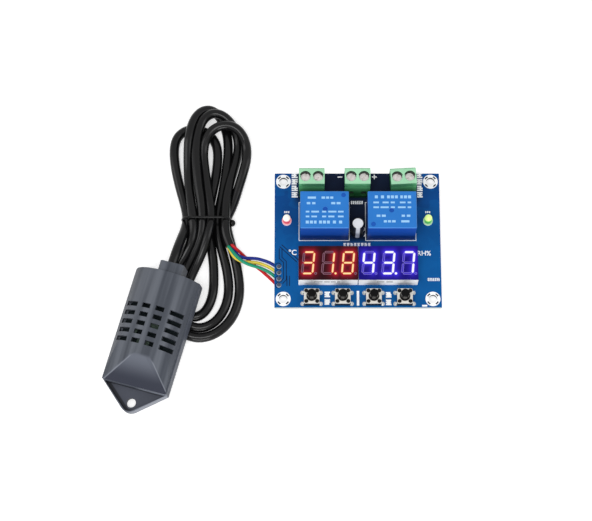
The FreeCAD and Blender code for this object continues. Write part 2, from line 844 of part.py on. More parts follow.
def tab_outline(grow):
    """A triangle whose rounded nose goes round the fixing hole."""
    half = base_w / 2 - grow
    r = tab_r - grow
    centre = V(0, -tab_reach, 0)
    corner = V(half, 0, 0)
    gap = corner - centre
    bearing = math.atan2(gap.y, gap.x) - math.acos(r / gap.Length)
    right = centre + V(r * math.cos(bearing), r * math.sin(bearing), 0)
    left = V(-right.x, right.y, 0)
    nose = Part.Arc(right, centre + V(0, -r, 0), left).toShape()
    sides = [Part.makeLine(corner, right), nose, Part.makeLine(left, V(-half, 0, 0))]
    return Part.Face(Part.Wire(sides + [Part.makeLine(V(-half, 0, 0), corner)]))


def back_shell():
    tray = Part.makeBox(base_w, probe_len + base_lip, base_h, V(-base_w / 2, 0, 0))
    tray = tray.makeFillet(0.8, [e for e in upright_edges(tray) if e.BoundBox.YMin > 1])
    tab = tab_outline(0).extrude(V(0, 0, tab_h))
    pocket = tab_outline(tab_rim).extrude(V(0, 0, tab_h))
    pocket.translate(V(0, -tab_rim / 2, base_floor))
    hollow = Part.makeBox(base_w - 2 * probe_wall - 1, probe_len - 2 * probe_wall, base_h,
                          V(-base_w / 2 + probe_wall + 0.5, probe_wall, base_floor))
    rails = []
    half = base_w / 2 - probe_wall - 0.5
    for side in (-1, 1):
        rails.append(block(side * (half - rail_w / 2), probe_len / 2, base_floor,
                           rail_w, probe_len - 2 * probe_wall, rail_h - base_floor))
    shell = tray.fuse(tab).removeSplitter().cut([pocket, hollow, rod(0, -tab_reach, -1, tab_hole_r, 9)])
    return fuse_all([shell] + rails)


sensor_board_w = base_w - 2 * probe_wall - 1 - 2 * sensor_board_clear
sensor_board_len = probe_len - 2 * probe_wall - 2 * sensor_margin
sensor_start = probe_wall + sensor_margin
sensor_board = Part.makeBox(sensor_board_w, sensor_board_len, sensor_board_t,
                            V(-sensor_board_w / 2, sensor_start, rail_h))
element_unit = sensor_board_w / 22


def element(x, share, dx, dy, h):
    """A part on the sensor board, at a share of the board's length and sized by its width."""
    middle = sensor_start + share * sensor_board_len
    return block(x * element_unit, middle, rail_h + sensor_board_t,
                 dx * element_unit, dy * element_unit, h * element_unit)


elements = fuse_all([
    element(-1.5, 0.35, 5.0, 5.0, 1.4), element(5.0, 0.31, 3.2, 1.6, 0.9), element(5.2, 0.415, 2.0, 1.2, 0.8),
    element(-6.0, 0.44, 1.6, 3.2, 0.9), element(1.0, 0.53, 6.0, 4.0, 1.5), element(0.0, 0.9, 10.0, 2.5, 2.0),
])
probe_pieces = {
    "probe_front_cover": front_cover(),
    "probe_back_shell": back_shell(),
    "probe_sensor_board": sensor_board,
    "probe_sensor_parts": elements,
}
lowest = 0.0
probe_place = FreeCAD.Placement(V(probe_x, probe_y, 0), probe_turn)
laid = probe_pieces["probe_back_shell"].copy()
laid.Placement = probe_place
probe_place = FreeCAD.Placement(V(probe_x, probe_y, floor_z - laid.BoundBox.ZMin), probe_turn)
for name, shape in probe_pieces.items():
    shape.Placement = probe_place
    save(name, shape)
gland = probe_place.multVec(V(gland_x, probe_len + boss_len, gland_h))
gland_way = probe_place.Rotation.multVec(V(0, 1, 0))
print("gland", gland, "way", gland_way)
print("tab hole", probe_place.multVec(V(0, -tab_reach, base_floor / 2)), probe_turn.multVec(V(0, 0, 1)))


def rounded_path(points, closed=False):
    """Straight runs joined by the largest tangent arcs that fit; gives edges, length and least radius."""
    pts = [V(*p) for p in points]
    count = len(pts)
    inner = range(count) if closed else range(1, count - 1)
    cut = {}
    least = None
    for i in inner:
        before = pts[i - 1] - pts[i]
        after = pts[(i + 1) % count] - pts[i]
        shorter = min(before.Length, after.Length)
        turn = math.pi - before.getAngle(after)
        reach = 0.45 * shorter
        radius = reach / math.tan(turn / 2)
        least = radius if least is None else min(least, radius)
        start = pts[i] + before.normalize() * reach
        end = pts[i] + after.normalize() * reach
        bend = (before + after).normalize()
        middle = pts[i] + bend * (radius / math.cos(turn / 2) - radius)
        cut[i] = (start, middle, end)
    edges = []
    here = cut[0][2] if closed else pts[0]
    order = list(range(1, count)) + [0] if closed else list(inner)
    for i in order:
        start, middle, end = cut[i]
        edges.append(Part.LineSegment(here, start).toShape())
        edges.append(Part.Arc(start, middle, end).toShape())
        here = end
    if not closed:
        edges.append(Part.LineSegment(here, pts[-1]).toShape())
    return edges, sum(e.Length for e in edges), least


def tube(name, points, diameter):
    """A round cord along a path, checked against its section times its length."""
    edges, length, least = rounded_path(points)
    path = Part.Wire(edges)
    way = (V(*points[1]) - V(*points[0])).normalize()
    section = Part.Wire(Part.makeCircle(diameter / 2, V(*points[0]), way))
    solid = path.makePipeShell([section], True, True)
    share = solid.Volume / (math.pi * diameter ** 2 / 4 * length)
    print("%s length %.2f least radius %.2f volume ratio %.4f" % (name, length, least, share))
    return solid


def slab(points, low, high):
    """A flat solid with a rounded plan outline."""
    edges, length, least = rounded_path([(x, y, low) for x, y in points], closed=True)
    return Part.Face(Part.Wire(edges)).extrude(V(0, 0, high - low))


# The tied lead: upper loops, waist and lower loops, with the gaps between them.
upper_outline = [
    (-70.0, 3.2), (-69.7, 8.0), (-70.2, 18.5), (-74.4, 29.0), (-75.7, 38.0), (-73.2, 46.0),
    (-68.2, 53.6), (-61.3, 57.6), (-53.6, 54.6), (-46.4, 49.0), (-42.4, 41.0), (-42.8, 33.0),
    (-47.6, 19.6), (-50.9, 10.0), (-50.2, 3.2),
]
lower_outline = [
    (-67.5, 5.2), (-69.0, -4.0), (-72.4, -14.0), (-73.4, -25.0), (-70.8, -35.5), (-62.8, -42.2),
    (-53.2, -38.6), (-46.8, -30.5), (-44.6, -20.6), (-47.2, -11.8), (-50.5, -3.0), (-51.2, 5.2),
]
upper_gaps = [
    [(-69.9, 42.8), (-72.0, 38.4), (-70.6, 29.8), (-68.8, 24.0), (-69.6, 33.0)],
    [(-59.3, 39.6), (-60.6, 34.0), (-58.3, 24.0), (-57.2, 33.6)],
    [(-59.0, 52.6), (-56.8, 49.4), (-61.2, 45.8), (-62.6, 47.6)],
]
lower_gaps = [
    [(-60.3, -3.4), (-59.2, -16.4), (-61.4, -26.6), (-63.0, -17.0)],
    [(-55.2, -7.0), (-54.0, -17.6), (-56.0, -30.0), (-57.9, -28.8), (-55.4, -16.2)],
    [(-58.6, -31.2), (-62.4, -32.0), (-66.6, -30.4), (-66.4, -35.0), (-61.4, -35.2)],
]
upper = slab(upper_outline, floor_z, hank_top).cut([slab(g, floor_z - 1, hank_top + 1) for g in upper_gaps])
lower = slab(lower_outline, floor_z, loop_top).cut([slab(g, floor_z - 1, loop_top + 1) for g in lower_gaps])
hank = upper.fuse(lower).removeSplitter()

# The tie sits in a groove round the waist and ends in a twisted knot.
tie_left = -69.6
tie_right = -50.6
tie_low = floor_z + tie_r
tie_high = hank_top + 0.1
tie_ring = [
    (tie_left, tie_y, tie_low), (tie_right, tie_y, tie_low),
    (tie_right, tie_y, tie_high), (tie_left, tie_y, tie_high),
]
ring_edges = rounded_path(tie_ring, closed=True)[0]
ring_path = Part.Wire(ring_edges)
ring_start = ring_edges[0].Vertexes[0].Point
ring_section = Part.Wire(Part.makeCircle(tie_r, ring_start, ring_edges[0].tangentAt(ring_edges[0].FirstParameter)))
tie = ring_path.makePipeShell([ring_section], True, True)
knot = Part.makeSphere(knot_r, V(tie_right + 0.6, tie_y - 0.8, knot_z))
tie = tie.fuse(knot).removeSplitter()
hank = hank.cut(tie)
save("cable_tie", tie)

lead_route = [
    (-73.26, -12.82, 7.99), (-71.59, -7.07, 8.35), (-69.75, -1.20, 7.20), (-68.00, 4.80, 4.60),
]
tail_route = [
    (-52.73, 4.98, 3.40), (-52.46, 2.24, 3.45), (-51.79, -0.52, 3.48), (-50.70, -3.14, 3.45),
]
core_routes = {
    "red": [
        (-50.18, -2.61, 4.13), (-48.22, -4.39, 3.60), (-46.72, -5.15, 1.80), (-45.45, -5.96, 0.00),
        (-43.72, -7.33, -1.20), (-41.16, -9.58, -1.35), (-38.17, -11.99, -1.35), (-34.12, -15.83, -1.05),
        (-32.31, -17.70, -1.05),
    ],
    "blue": [
        (-50.19, -2.60, 2.77), (-48.96, -5.11, 2.45), (-47.38, -6.68, 1.90), (-45.56, -7.44, 1.40),
        (-43.32, -7.46, 0.80), (-40.83, -7.34, 0.30), (-38.69, -7.53, -0.30), (-34.60, -8.73, -1.05),
        (-32.49, -10.26, -1.05),
    ],
    "yellow": [
        (-51.45, -3.12, 2.77), (-50.31, -5.50, 2.50), (-48.95, -7.41, 2.25), (-46.90, -8.70, 1.30),
        (-44.31, -8.91, 0.40), (-41.53, -8.96, 0.15), (-39.16, -9.14, -0.20), (-34.27, -10.89, -1.05),
        (-32.37, -12.66, -1.05),
    ],
    "green": [
        (-51.44, -3.13, 4.13), (-49.86, -5.28, 4.05), (-48.47, -7.06, 3.90), (-46.77, -8.64, 3.25),
        (-44.18, -9.99, 1.85), (-40.99, -10.77, 0.75), (-38.66, -11.21, 0.15), (-34.01, -13.18, -1.05),
        (-32.27, -15.11, -1.05),
    ],
}
save("lead_hank", hank)
save("lead_start", tube("lead_start", lead_route, lead_d).cut([hank, probe_pieces["probe_front_cover"]]))
tail = tube("lead_end", tail_route, lead_d).cut(hank)
save("lead_end", tail)
for colour, route in core_routes.items():
    save("core_" + colour, tube("core_" + colour, route, core_d).cut([tail] + sensor_joints))
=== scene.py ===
import math

import bpy
import numpy as np
from mathutils import Euler, Matrix, Vector


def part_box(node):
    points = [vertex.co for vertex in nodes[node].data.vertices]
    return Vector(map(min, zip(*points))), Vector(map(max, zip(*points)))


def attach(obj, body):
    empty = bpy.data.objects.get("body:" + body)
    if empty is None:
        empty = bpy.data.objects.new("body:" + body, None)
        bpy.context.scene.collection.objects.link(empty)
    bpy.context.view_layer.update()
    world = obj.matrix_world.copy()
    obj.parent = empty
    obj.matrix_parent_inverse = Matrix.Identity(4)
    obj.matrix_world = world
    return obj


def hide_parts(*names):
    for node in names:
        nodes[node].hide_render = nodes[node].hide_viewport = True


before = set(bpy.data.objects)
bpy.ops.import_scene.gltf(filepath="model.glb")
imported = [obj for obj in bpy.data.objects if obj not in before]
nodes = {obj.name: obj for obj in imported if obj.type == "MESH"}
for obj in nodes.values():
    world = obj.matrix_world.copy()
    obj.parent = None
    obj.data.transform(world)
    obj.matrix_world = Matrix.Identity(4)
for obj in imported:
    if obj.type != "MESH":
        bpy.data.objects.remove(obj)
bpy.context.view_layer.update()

mm = 0.001  # sizes and routes are in millimetres, and the places of the camera and the lights in metres

camera = dict(
    lens=117.07, sensor=36.0, place=(-0.024458, -0.235649, 0.730251), tilt=17.305, near=0.05, far=10.0,
)
eye = bpy.data.cameras.new("eye")
eye.lens, eye.sensor_width = camera["lens"], camera["sensor"]
eye.clip_start, eye.clip_end = camera["near"], camera["far"]
eyeObject = bpy.data.objects.new("eye", eye)
eyeObject.location = camera["place"]
eyeObject.rotation_euler = Euler((math.radians(camera["tilt"]), 0.0, 0.0))
bpy.context.collection.objects.link(eyeObject)
bpy.context.scene.camera = eyeObject

leadRoute = [
    (-73.26, -12.82, 7.99), (-71.62, -7.15, 8.20), (-69.95, -1.40, 6.05), (-68.45, 3.90, 3.00),
    (-67.76, 8.93, 1.00), (-68.85, 14.65, 0.30), (-71.27, 22.90, -0.20), (-73.20, 31.46, -0.20),
    (-73.87, 38.77, -0.20), (-72.79, 43.96, -0.20), (-69.72, 46.87, -0.20), (-65.67, 47.69, -0.20),
    (-61.72, 46.78, -0.20), (-58.44, 44.18, -0.20), (-56.28, 39.85, -0.20), (-56.00, 34.03, -0.20),
    (-56.76, 26.74, -0.20), (-58.50, 17.79, -0.20), (-59.83, 9.33, -0.20), (-59.35, 3.44, -0.20),
    (-58.23, -2.43, -0.20), (-57.28, -8.69, -0.20), (-56.95, -15.33, -0.20), (-57.11, -21.52, -0.20),
    (-58.70, -26.86, -0.20), (-61.02, -30.14, -0.20), (-64.11, -31.70, -0.20), (-67.00, -30.55, -0.20),
    (-68.49, -26.86, -0.20), (-68.48, -22.34, -0.20), (-67.14, -17.39, -0.20), (-65.22, -12.93, 0.10),
    (-63.19, -8.58, 0.80), (-61.21, -4.03, 2.20), (-59.33, 1.84, 3.40), (-58.06, 8.16, 3.30),
    (-58.62, 13.66, 3.20), (-59.82, 21.03, 2.70), (-61.14, 29.40, 1.90), (-61.86, 36.15, 2.20),
    (-61.15, 41.47, 3.50), (-58.35, 45.65, 4.40), (-54.10, 47.50, 5.20), (-49.65, 46.82, 5.60),
    (-46.22, 43.94, 4.80), (-44.28, 39.10, 3.50), (-44.24, 33.17, 3.30), (-45.74, 27.44, 2.60),
    (-47.49, 21.87, 1.50), (-49.07, 16.63, 0.70), (-50.65, 12.61, 0.10), (-52.50, 8.91, -0.20),
    (-51.77, 3.86, -0.20), (-50.19, -2.01, -0.20), (-48.46, -8.27, -0.20), (-47.21, -14.50, -0.20),
    (-46.64, -20.70, -0.20), (-47.50, -26.86, -0.20), (-49.89, -32.39, -0.20), (-53.70, -36.67, -0.20),
    (-58.22, -39.31, -0.20), (-63.12, -40.09, -0.20), (-68.05, -38.62, -0.20), (-72.35, -35.20, -0.20),
    (-75.13, -30.14, -0.20), (-76.10, -24.81, -0.20), (-75.42, -19.46, -0.20), (-73.61, -14.50, -0.20),
    (-71.04, -9.77, 0.60), (-68.25, -5.49, 2.20), (-66.12, -1.23, 3.20), (-65.22, 3.27, 3.50),
    (-65.44, 7.95, 3.90), (-66.21, 14.08, 3.20), (-67.19, 21.27, 2.00), (-67.74, 28.70, 1.50),
    (-67.94, 35.72, 2.20), (-67.71, 42.58, 3.40), (-66.36, 49.07, 3.40), (-64.04, 53.46, 2.60),
    (-60.81, 55.76, 1.20), (-57.60, 55.32, -0.10), (-55.13, 52.44, -0.20), (-53.29, 48.52, -0.20),
    (-52.11, 43.74, -0.20), (-51.80, 37.91, -0.20), (-52.38, 31.03, -0.20), (-53.34, 23.33, -0.20),
    (-54.78, 15.67, -0.20), (-56.14, 8.91, -0.20), (-55.68, 3.86, -0.20), (-54.49, -2.01, -0.20),
    (-52.84, -7.85, -0.20), (-51.50, -14.08, -0.20), (-50.96, -20.28, -0.20), (-51.77, -26.04, -0.20),
    (-54.15, -31.16, -0.20), (-57.89, -34.80, -0.20), (-62.39, -36.22, -0.20), (-66.77, -34.96, -0.20),
    (-70.06, -31.53, -0.20), (-72.12, -26.45, -0.20), (-71.98, -21.11, -0.20), (-70.42, -15.95, -0.20),
    (-68.15, -11.07, 0.10), (-65.61, -6.29, 0.80), (-63.41, -1.58, 1.70), (-62.00, 3.29, 2.80),
    (-61.80, 8.12, 3.40), (-62.28, 13.94, 3.60), (-63.38, 21.10, 3.70), (-64.29, 28.75, 3.70),
    (-64.82, 36.49, 3.60), (-64.17, 43.84, 3.50), (-62.25, 50.41, 3.50), (-58.40, 53.33, 3.60),
    (-54.35, 52.58, 3.30), (-51.04, 49.84, 2.10), (-48.69, 45.96, 0.80), (-47.54, 40.93, -0.20),
    (-48.34, 34.68, -0.20), (-49.91, 28.63, 0.50), (-51.50, 22.23, 1.70), (-52.44, 15.94, 2.70),
    (-52.52, 11.10, 3.30), (-52.75, 4.98, 3.45), (-52.46, 2.24, 3.45), (-51.79, -0.52, 3.48),
    (-50.70, -3.14, 3.45),
]
coreRoutes = {
    "red": [
        (-50.18, -2.61, 4.13), (-48.22, -4.39, 3.60), (-46.72, -5.15, 1.80), (-45.45, -5.96, 0.00),
        (-43.72, -7.33, -1.20), (-41.16, -9.58, -1.35), (-38.17, -11.99, -1.35), (-34.12, -15.83, -1.05),
        (-32.31, -17.70, -1.05),
    ],
    "blue": [
        (-50.19, -2.60, 2.77), (-48.96, -5.11, 2.45), (-47.38, -6.68, 1.90), (-45.56, -7.44, 1.40),
        (-43.32, -7.46, 0.80), (-40.83, -7.34, 0.30), (-38.69, -7.53, -0.30), (-34.60, -8.73, -1.05),
        (-32.49, -10.26, -1.05),
    ],
    "yellow": [
        (-51.45, -3.12, 2.77), (-50.31, -5.50, 2.50), (-48.95, -7.41, 2.25), (-46.90, -8.70, 1.30),
        (-44.31, -8.91, 0.40), (-41.53, -8.96, 0.15), (-39.16, -9.14, -0.20), (-34.27, -10.89, -1.05),
        (-32.37, -12.66, -1.05),
    ],
    "green": [
        (-51.44, -3.13, 4.13), (-49.86, -5.28, 4.05), (-48.47, -7.06, 3.90), (-46.77, -8.64, 3.25),
        (-44.18, -9.99, 1.85), (-40.99, -10.77, 0.75), (-38.66, -11.21, 0.15), (-34.01, -13.18, -1.05),
        (-32.27, -15.11, -1.05),
    ],
}

wires = dict(
    leadWidth=3.85, leadSides=7, leadLength=0.718,
    leadLift=0.13,  # keeps the lead on the floor
    coreWidth=1.3, coreSides=5, steps=8,
)


# The lowest and highest corner of a node, in millimetres.
def boxOf(node):
    low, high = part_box(node)
    return np.array(low) / mm, np.array(high) / mm


# A new piece of the scene, on the part's root body, in one finish and one colour slot.
def show(piece, look):
    bpy.context.collection.objects.link(piece)
    if look is not None:
        piece.data.materials.append(look)
    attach(piece, "root")
    return piece


# A round section of the given diameter, swept along the NURBS curve whose control points are the route.
def wire(name, route, diameter, sides):
    curve = bpy.data.curves.new(name, "CURVE")
    curve.dimensions = "3D"
    spline = curve.splines.new("NURBS")
    spline.points.add(len(route) - 1)
    for point, (x, y, z) in zip(spline.points, route):
        point.co = (x * mm, y * mm, z * mm, 1.0)
        point.radius = mm
    spline.order_u = 3
    spline.use_endpoint_u = True
    spline.resolution_u = wires["steps"]
    curve.bevel_depth = diameter / 2
    curve.bevel_resolution = sides
    curve.use_fill_caps = True
    return show(bpy.data.objects.new(name, curve), None)


leadLine = [(x, y, z + wires["leadLift"]) for x, y, z in leadRoute]
lead = wire("sheathedLead", leadLine, wires["leadWidth"], wires["leadSides"])
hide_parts("lead_start", "lead_hank", "lead_end")
cores = {}
for color, route in coreRoutes.items():
    cores[color] = wire(color + "Core", route, wires["coreWidth"], wires["coreSides"])
    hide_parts("core_" + color)
print("camera and wires made")


# A display colour, 0 to 255, as linear light.
def rgb(color):
    parts = [c / 255 for c in color]
    linear = [c / 12.92 if c <= 0.04045 else ((c + 0.055) / 1.055) ** 2.4 for c in parts]
    return (*linear, 1.0)


# A socket that takes part in sums, each of which adds its Math node.
class Val:
    def __init__(self, paint, socket):
        self.paint, self.socket = paint, socket

    def __add__(self, other):
        return self.paint.math("ADD", self, other)

    def __radd__(self, other):
        return self.paint.math("ADD", other, self)

    def __sub__(self, other):
        return self.paint.math("SUBTRACT", self, other)

    def __rsub__(self, other):
        return self.paint.math("SUBTRACT", other, self)

    def __mul__(self, other):
        return self.paint.math("MULTIPLY", self, other)

    def __rmul__(self, other):
        return self.paint.math("MULTIPLY", other, self)

    def __gt__(self, other):
        return self.paint.math("GREATER_THAN", self, other)

    def __lt__(self, other):
        return self.paint.math("LESS_THAN", self, other)


# One procedural material on a Principled shader.
class Paint:
    def __init__(self, name):
        self.material = bpy.data.materials.new(name)
        self.material.use_nodes = True
        self.tree = self.material.node_tree
        self.shader = self.tree.nodes["Principled BSDF"]
        self.where = None

    def put(self, socket, value):
        if isinstance(value, Val):
            self.tree.links.new(value.socket, socket)
        else:
            socket.default_value = value

    def node(self, kind, settings, values, output=0):
        made = self.tree.nodes.new(kind)
        for key, value in settings.items():
            setattr(made, key, value)
        for key, value in values.items():
            self.put(made.inputs[key], value)
        return Val(self, made.outputs[output])

    def math(self, operation, *parts):
        return self.node("ShaderNodeMath", {"operation": operation}, dict(enumerate(parts)))

    def most(self, a, b):
        return self.math("MAXIMUM", a, b)

    def size(self, value):
        return self.math("ABSOLUTE", value)

    def reach(self, dx, dy):  # the distance that two offsets make
        return self.math("SQRT", dx * dx + dy * dy)

    def place(self):
        if self.where is None:
            self.where = self.node("ShaderNodeTexCoord", {}, {}, "Object")
        return self.where

    def axes(self):  # x, y and z of the point, in millimetres
        split = self.tree.nodes.new("ShaderNodeSeparateXYZ")
        self.put(split.inputs[0], self.place())
        return [Val(self, s) * 1000.0 for s in split.outputs]

    def noise(self, size, detail=3.0):  # 0 to 1, in features of that many millimetres
        return self.node("ShaderNodeTexNoise", {}, {
            "Vector": self.place(), "Scale": 1000.0 / size, "Detail": detail, "Roughness": 0.5})

    def held(self, name):  # an attribute of the mesh
        return self.node("ShaderNodeAttribute", {"attribute_name": name}, {}, "Fac")

    def blend(self, factor, a, b):
        return self.node("ShaderNodeMix", {"data_type": "RGBA"}, {0: factor, 6: a, 7: b}, 2)

    def step(self, value, low, high):  # 0 below low, 1 above high, smooth between
        return self.node("ShaderNodeMapRange", {"interpolation_type": "SMOOTHSTEP"}, {
            "Value": value, "From Min": low, "From Max": high})

    def bump(self, height, depth, strength=0.5):
        return self.node("ShaderNodeBump", {}, {
            "Height": height, "Distance": depth * mm, "Strength": strength})

    def look(self, **values):
        for key, value in values.items():
            self.put(self.shader.inputs[key.replace("_", " ")], value)
        return self.material


# Plastic, metal or solder: two close colours in soft patches, and fine grain in gloss and height.
def moulded(
    name, color, shade, rough=0.35, grain=0.35, depth=0.006, metal=0.0, coat=0.0, patch=3.0, gloss=0.12,
):
    paint = Paint(name)
    uneven = 0.08
    soft = paint.noise(patch, 2.0)
    fine = paint.noise(grain)
    return paint.look(
        Base_Color=paint.blend(soft, rgb(color), rgb(shade)),
        Roughness=soft * uneven + fine * uneven + (rough - uneven),
        Metallic=metal, Coat_Weight=coat, Coat_Roughness=0.15, Specular_IOR_Level=gloss,
        Normal=paint.bump(fine, depth, 0.6),
    )


plain = {
    "relaySeal": dict(color=(24, 30, 46), shade=(32, 38, 54), rough=0.5),
    "tin": dict(color=(236, 236, 232), shade=(204, 205, 204), rough=0.38, metal=0.3, grain=0.6, depth=0.02),
    "whitePlastic": dict(color=(250, 250, 250), shade=(240, 241, 243), rough=0.45),
    "blackPlastic": dict(color=(7, 7, 8), shade=(11, 11, 12), rough=0.25, gloss=0.08),
    "buttonSteel": dict(color=(228, 225, 218), shade=(206, 203, 197), rough=0.42, metal=0.15, grain=0.25),
    "rivetBlack": dict(color=(12, 12, 13), shade=(20, 20, 21), rough=0.4),
    "screwSteel": dict(color=(252, 248, 244), shade=(228, 223, 220), rough=0.42, metal=0.15, grain=0.3),
    "cageSteel": dict(color=(176, 176, 172), shade=(140, 141, 140), rough=0.4, metal=0.9),
    # Tin darkened as painted shade, for the pins down inside the terminals.
    "shadedPinSteel": dict(color=(84, 86, 86), shade=(58, 60, 60), rough=0.4, metal=0.6),
    "canAluminium": dict(color=(236, 238, 240), shade=(220, 222, 225), rough=0.4, metal=0.15, grain=0.2),
    "solder": dict(
        color=(206, 208, 210), shade=(140, 146, 150), rough=0.25, metal=0.8, grain=0.9, depth=0.05,
    ),
    "chipBlack": dict(color=(26, 27, 30), shade=(36, 37, 40), rough=0.55),
    "passiveTan": dict(color=(176, 146, 104), shade=(150, 120, 84), rough=0.5),
    "sensorBoard": dict(color=(12, 26, 30), shade=(9, 20, 25), rough=0.5),
    "sensorWhite": dict(color=(96, 112, 100), shade=(50, 64, 58), rough=0.5, patch=1.5),
    "leadBlack": dict(color=(8, 8, 9), shade=(13, 13, 14), rough=0.19, grain=0.5, depth=0.008, gloss=0.22),
    "tieBlack": dict(color=(8, 8, 9), shade=(14, 14, 15), rough=0.3, gloss=0.16),
    "redCore": dict(color=(196, 36, 40), shade=(172, 26, 32), rough=0.35, coat=0.1),
    "blueCore": dict(color=(22, 44, 140), shade=(16, 34, 120), rough=0.35, coat=0.1),
    "yellowCore": dict(color=(226, 206, 84), shade=(208, 184, 60), rough=0.35, coat=0.1),
    "greenCore": dict(color=(22, 146, 110), shade=(14, 124, 96), rough=0.35, coat=0.1),
    "silkWhite": dict(color=(250, 251, 252), shade=(240, 243, 247), rough=0.7, grain=0.2),
    "relayPrint": dict(color=(158, 204, 240), shade=(140, 190, 234), rough=0.6, grain=0.2),
    # Painted shade for the relays' dimples.
    "dimpleShadeBlue": dict(color=(30, 88, 178), shade=(24, 78, 164), rough=0.5),
    "traceBlue": dict(color=(6, 30, 62), shade=(5, 26, 56), rough=0.5),
    # Painted shade for the back edges of the screw wells.
    "wellShadeGreen": dict(color=(16, 44, 28), shade=(12, 36, 22), rough=0.5),
    "markGrey": dict(color=(70, 72, 78), shade=(50, 52, 58), rough=0.6),
}
speckle = 0.1  # how much the fine noise adds to the roughness of the finishes below
looks = {name: moulded(name, **settings) for name, settings in plain.items()}

boardHigh = boxOf("circuit_board")[1]
boardTop = boardHigh[2]
boardPaint = dict(
    # The back's blue is painted shade on the front's blue, and the shadow colour is a painted shadow.
    front=(8, 86, 152), frontDeep=(6, 79, 141), back=(10, 66, 130), pour=(10, 88, 154),
    shadow=(13, 20, 38), shadowShare=0.94, laminate=(190, 198, 196), rough=0.36, gloss=0.08,
    shadeFade=(-14.0, 24.0),  # where the front's blue turns to the back's
    behindRows=(12.5, 18.0), behindEnds=(22.5, 27.0),  # the shadow behind the relays
    betweenRows=(-3.0, 1.0), betweenEnds=(4.0, 7.0),  # the shadow between them
)


# Blue solder mask with painted shade, darker towards the back, and a painted shadow behind and between the
# tall parts. Noise cut at its middle gives the copper pours, and the side edges are bare laminate.
def boardLook():
    paint, tones = Paint("solderMask"), boardPaint
    x, y, z = paint.axes()
    soft = paint.noise(9.0, 2.0)
    fine = paint.noise(0.5)
    pour = paint.step(paint.noise(5.0, 1.0), 0.47, 0.53)
    off = paint.size(x)
    behind = paint.step(y, *tones["behindRows"]) * (1.0 - paint.step(off, *tones["behindEnds"]))
    between = paint.step(y, *tones["betweenRows"]) * (1.0 - paint.step(off, *tones["betweenEnds"]))
    shadowMask = paint.most(behind, between) * (z > boardTop - 0.1)
    base = paint.blend(soft, rgb(tones["front"]), rgb(tones["frontDeep"]))
    base = paint.blend(paint.step(y, *tones["shadeFade"]), base, rgb(tones["back"]))
    base = paint.blend(pour * 0.35, base, rgb(tones["pour"]))
    top = paint.blend(shadowMask * tones["shadowShare"], base, rgb(tones["shadow"]))
    side = paint.most(off > boardHigh[0] - 0.03, paint.size(y) > boardHigh[1] - 0.03)
    return paint.look(
        Base_Color=paint.blend(side * (z < boardTop - 0.03), top, rgb(tones["laminate"])),
        Roughness=fine * speckle + tones["rough"], Specular_IOR_Level=tones["gloss"],
        Normal=paint.bump(pour * 0.6 + fine * 0.4, 0.012),
    )


relayPaint = dict(
    # The wall blues are painted shade, darkest at the foot, and the rim is a painted highlight along the top
    # edge.
    top=(48, 121, 199), topDeep=(41, 110, 188), wall=(26, 78, 172), shadedWallFoot=(12, 50, 124),
    rim=(92, 156, 224), rimHighlightShare=0.7, wallFrom=2.0, rough=0.32, gloss=0.1,
)


# A case with a bright top, a painted highlight as a thin pale rim below it, and painted shade that darkens
# the walls downwards.
def relayLook():
    paint, tones = Paint("relayPlastic"), relayPaint
    x, y, z = paint.axes()
    top = boxOf("relay_left_case")[1][2]
    soft = paint.noise(5.0, 2.0)
    fine = paint.noise(0.5)
    roof = paint.step(z, top - 0.12, top - 0.04)
    rim = paint.step(z, top - 0.42, top - 0.3) * (1.0 - roof)
    wall = paint.blend(paint.step(z, tones["wallFrom"], top), rgb(tones["shadedWallFoot"]), rgb(tones["wall"]))
    base = paint.blend(roof, wall, paint.blend(soft, rgb(tones["top"]), rgb(tones["topDeep"])))
    return paint.look(
        Base_Color=paint.blend(rim * tones["rimHighlightShare"], base, rgb(tones["rim"])),
        Roughness=fine * speckle + tones["rough"], Specular_IOR_Level=tones["gloss"],
        Normal=paint.bump(fine, 0.004),
    )


terminalPaint = dict(
    # The wall greens are painted shade, darkest at the foot, and the well colour is painted shade in the
    # screw wells.
    top=(168, 222, 184), topDeep=(156, 214, 172), wall=(112, 206, 140), shadedWallFoot=(20, 66, 34),
    well=(18, 40, 28), wellRadius=2.07, wallFrom=4.6, rough=0.32, gloss=0.12,
)


# Mint plastic: a pale top, painted shade that darkens the walls downwards, and painted shade in the round
# wells for its two screws.
def terminalLook(side):
    paint, tones = Paint(side + "Terminal"), terminalPaint
    x, y, z = paint.axes()
    top = boxOf("terminal_%s_housing" % side)[1][2]
    soft = paint.noise(3.0, 2.0)
    fine = paint.noise(0.4)
    roof = paint.step(z, top - 0.5, top - 0.1)
    rise = paint.step(z, tones["wallFrom"], top - 0.2)
    wall = paint.blend(rise, rgb(tones["shadedWallFoot"]), rgb(tones["wall"]))
    base = paint.blend(roof, wall, paint.blend(soft, rgb(tones["top"]), rgb(tones["topDeep"])))
    wells = []
    for number in (1, 2):
        low, high = boxOf("%s_screw_%d" % (side, number))
        cx, cy = ((low + high) / 2)[:2]
        wells.append(paint.reach(x - cx, y - cy) < tones["wellRadius"])
    return paint.look(
        Base_Color=paint.blend(paint.most(*wells) * (z < top - 0.04), base, rgb(tones["well"])),
        Roughness=fine * speckle + tones["rough"], Specular_IOR_Level=tones["gloss"],
        Normal=paint.bump(fine, 0.005),
    )


ringPaint = dict(tin=(252, 253, 254), tinDeep=(238, 240, 243), barrel=(30, 32, 36), rough=0.4)


# Tinned rings, bright on top, with painted shade down the barrels.
def ringLook():
    paint = Paint("ringTin")
    x, y, z = paint.axes()
    fine = paint.noise(0.8)
    bright = paint.blend(fine, rgb(ringPaint["tin"]), rgb(ringPaint["tinDeep"]))
    return paint.look(
        Base_Color=paint.blend(z > boardTop - 0.03, rgb(ringPaint["barrel"]), bright),
        Roughness=fine * speckle + ringPaint["rough"], Normal=paint.bump(fine, 0.01),
    )


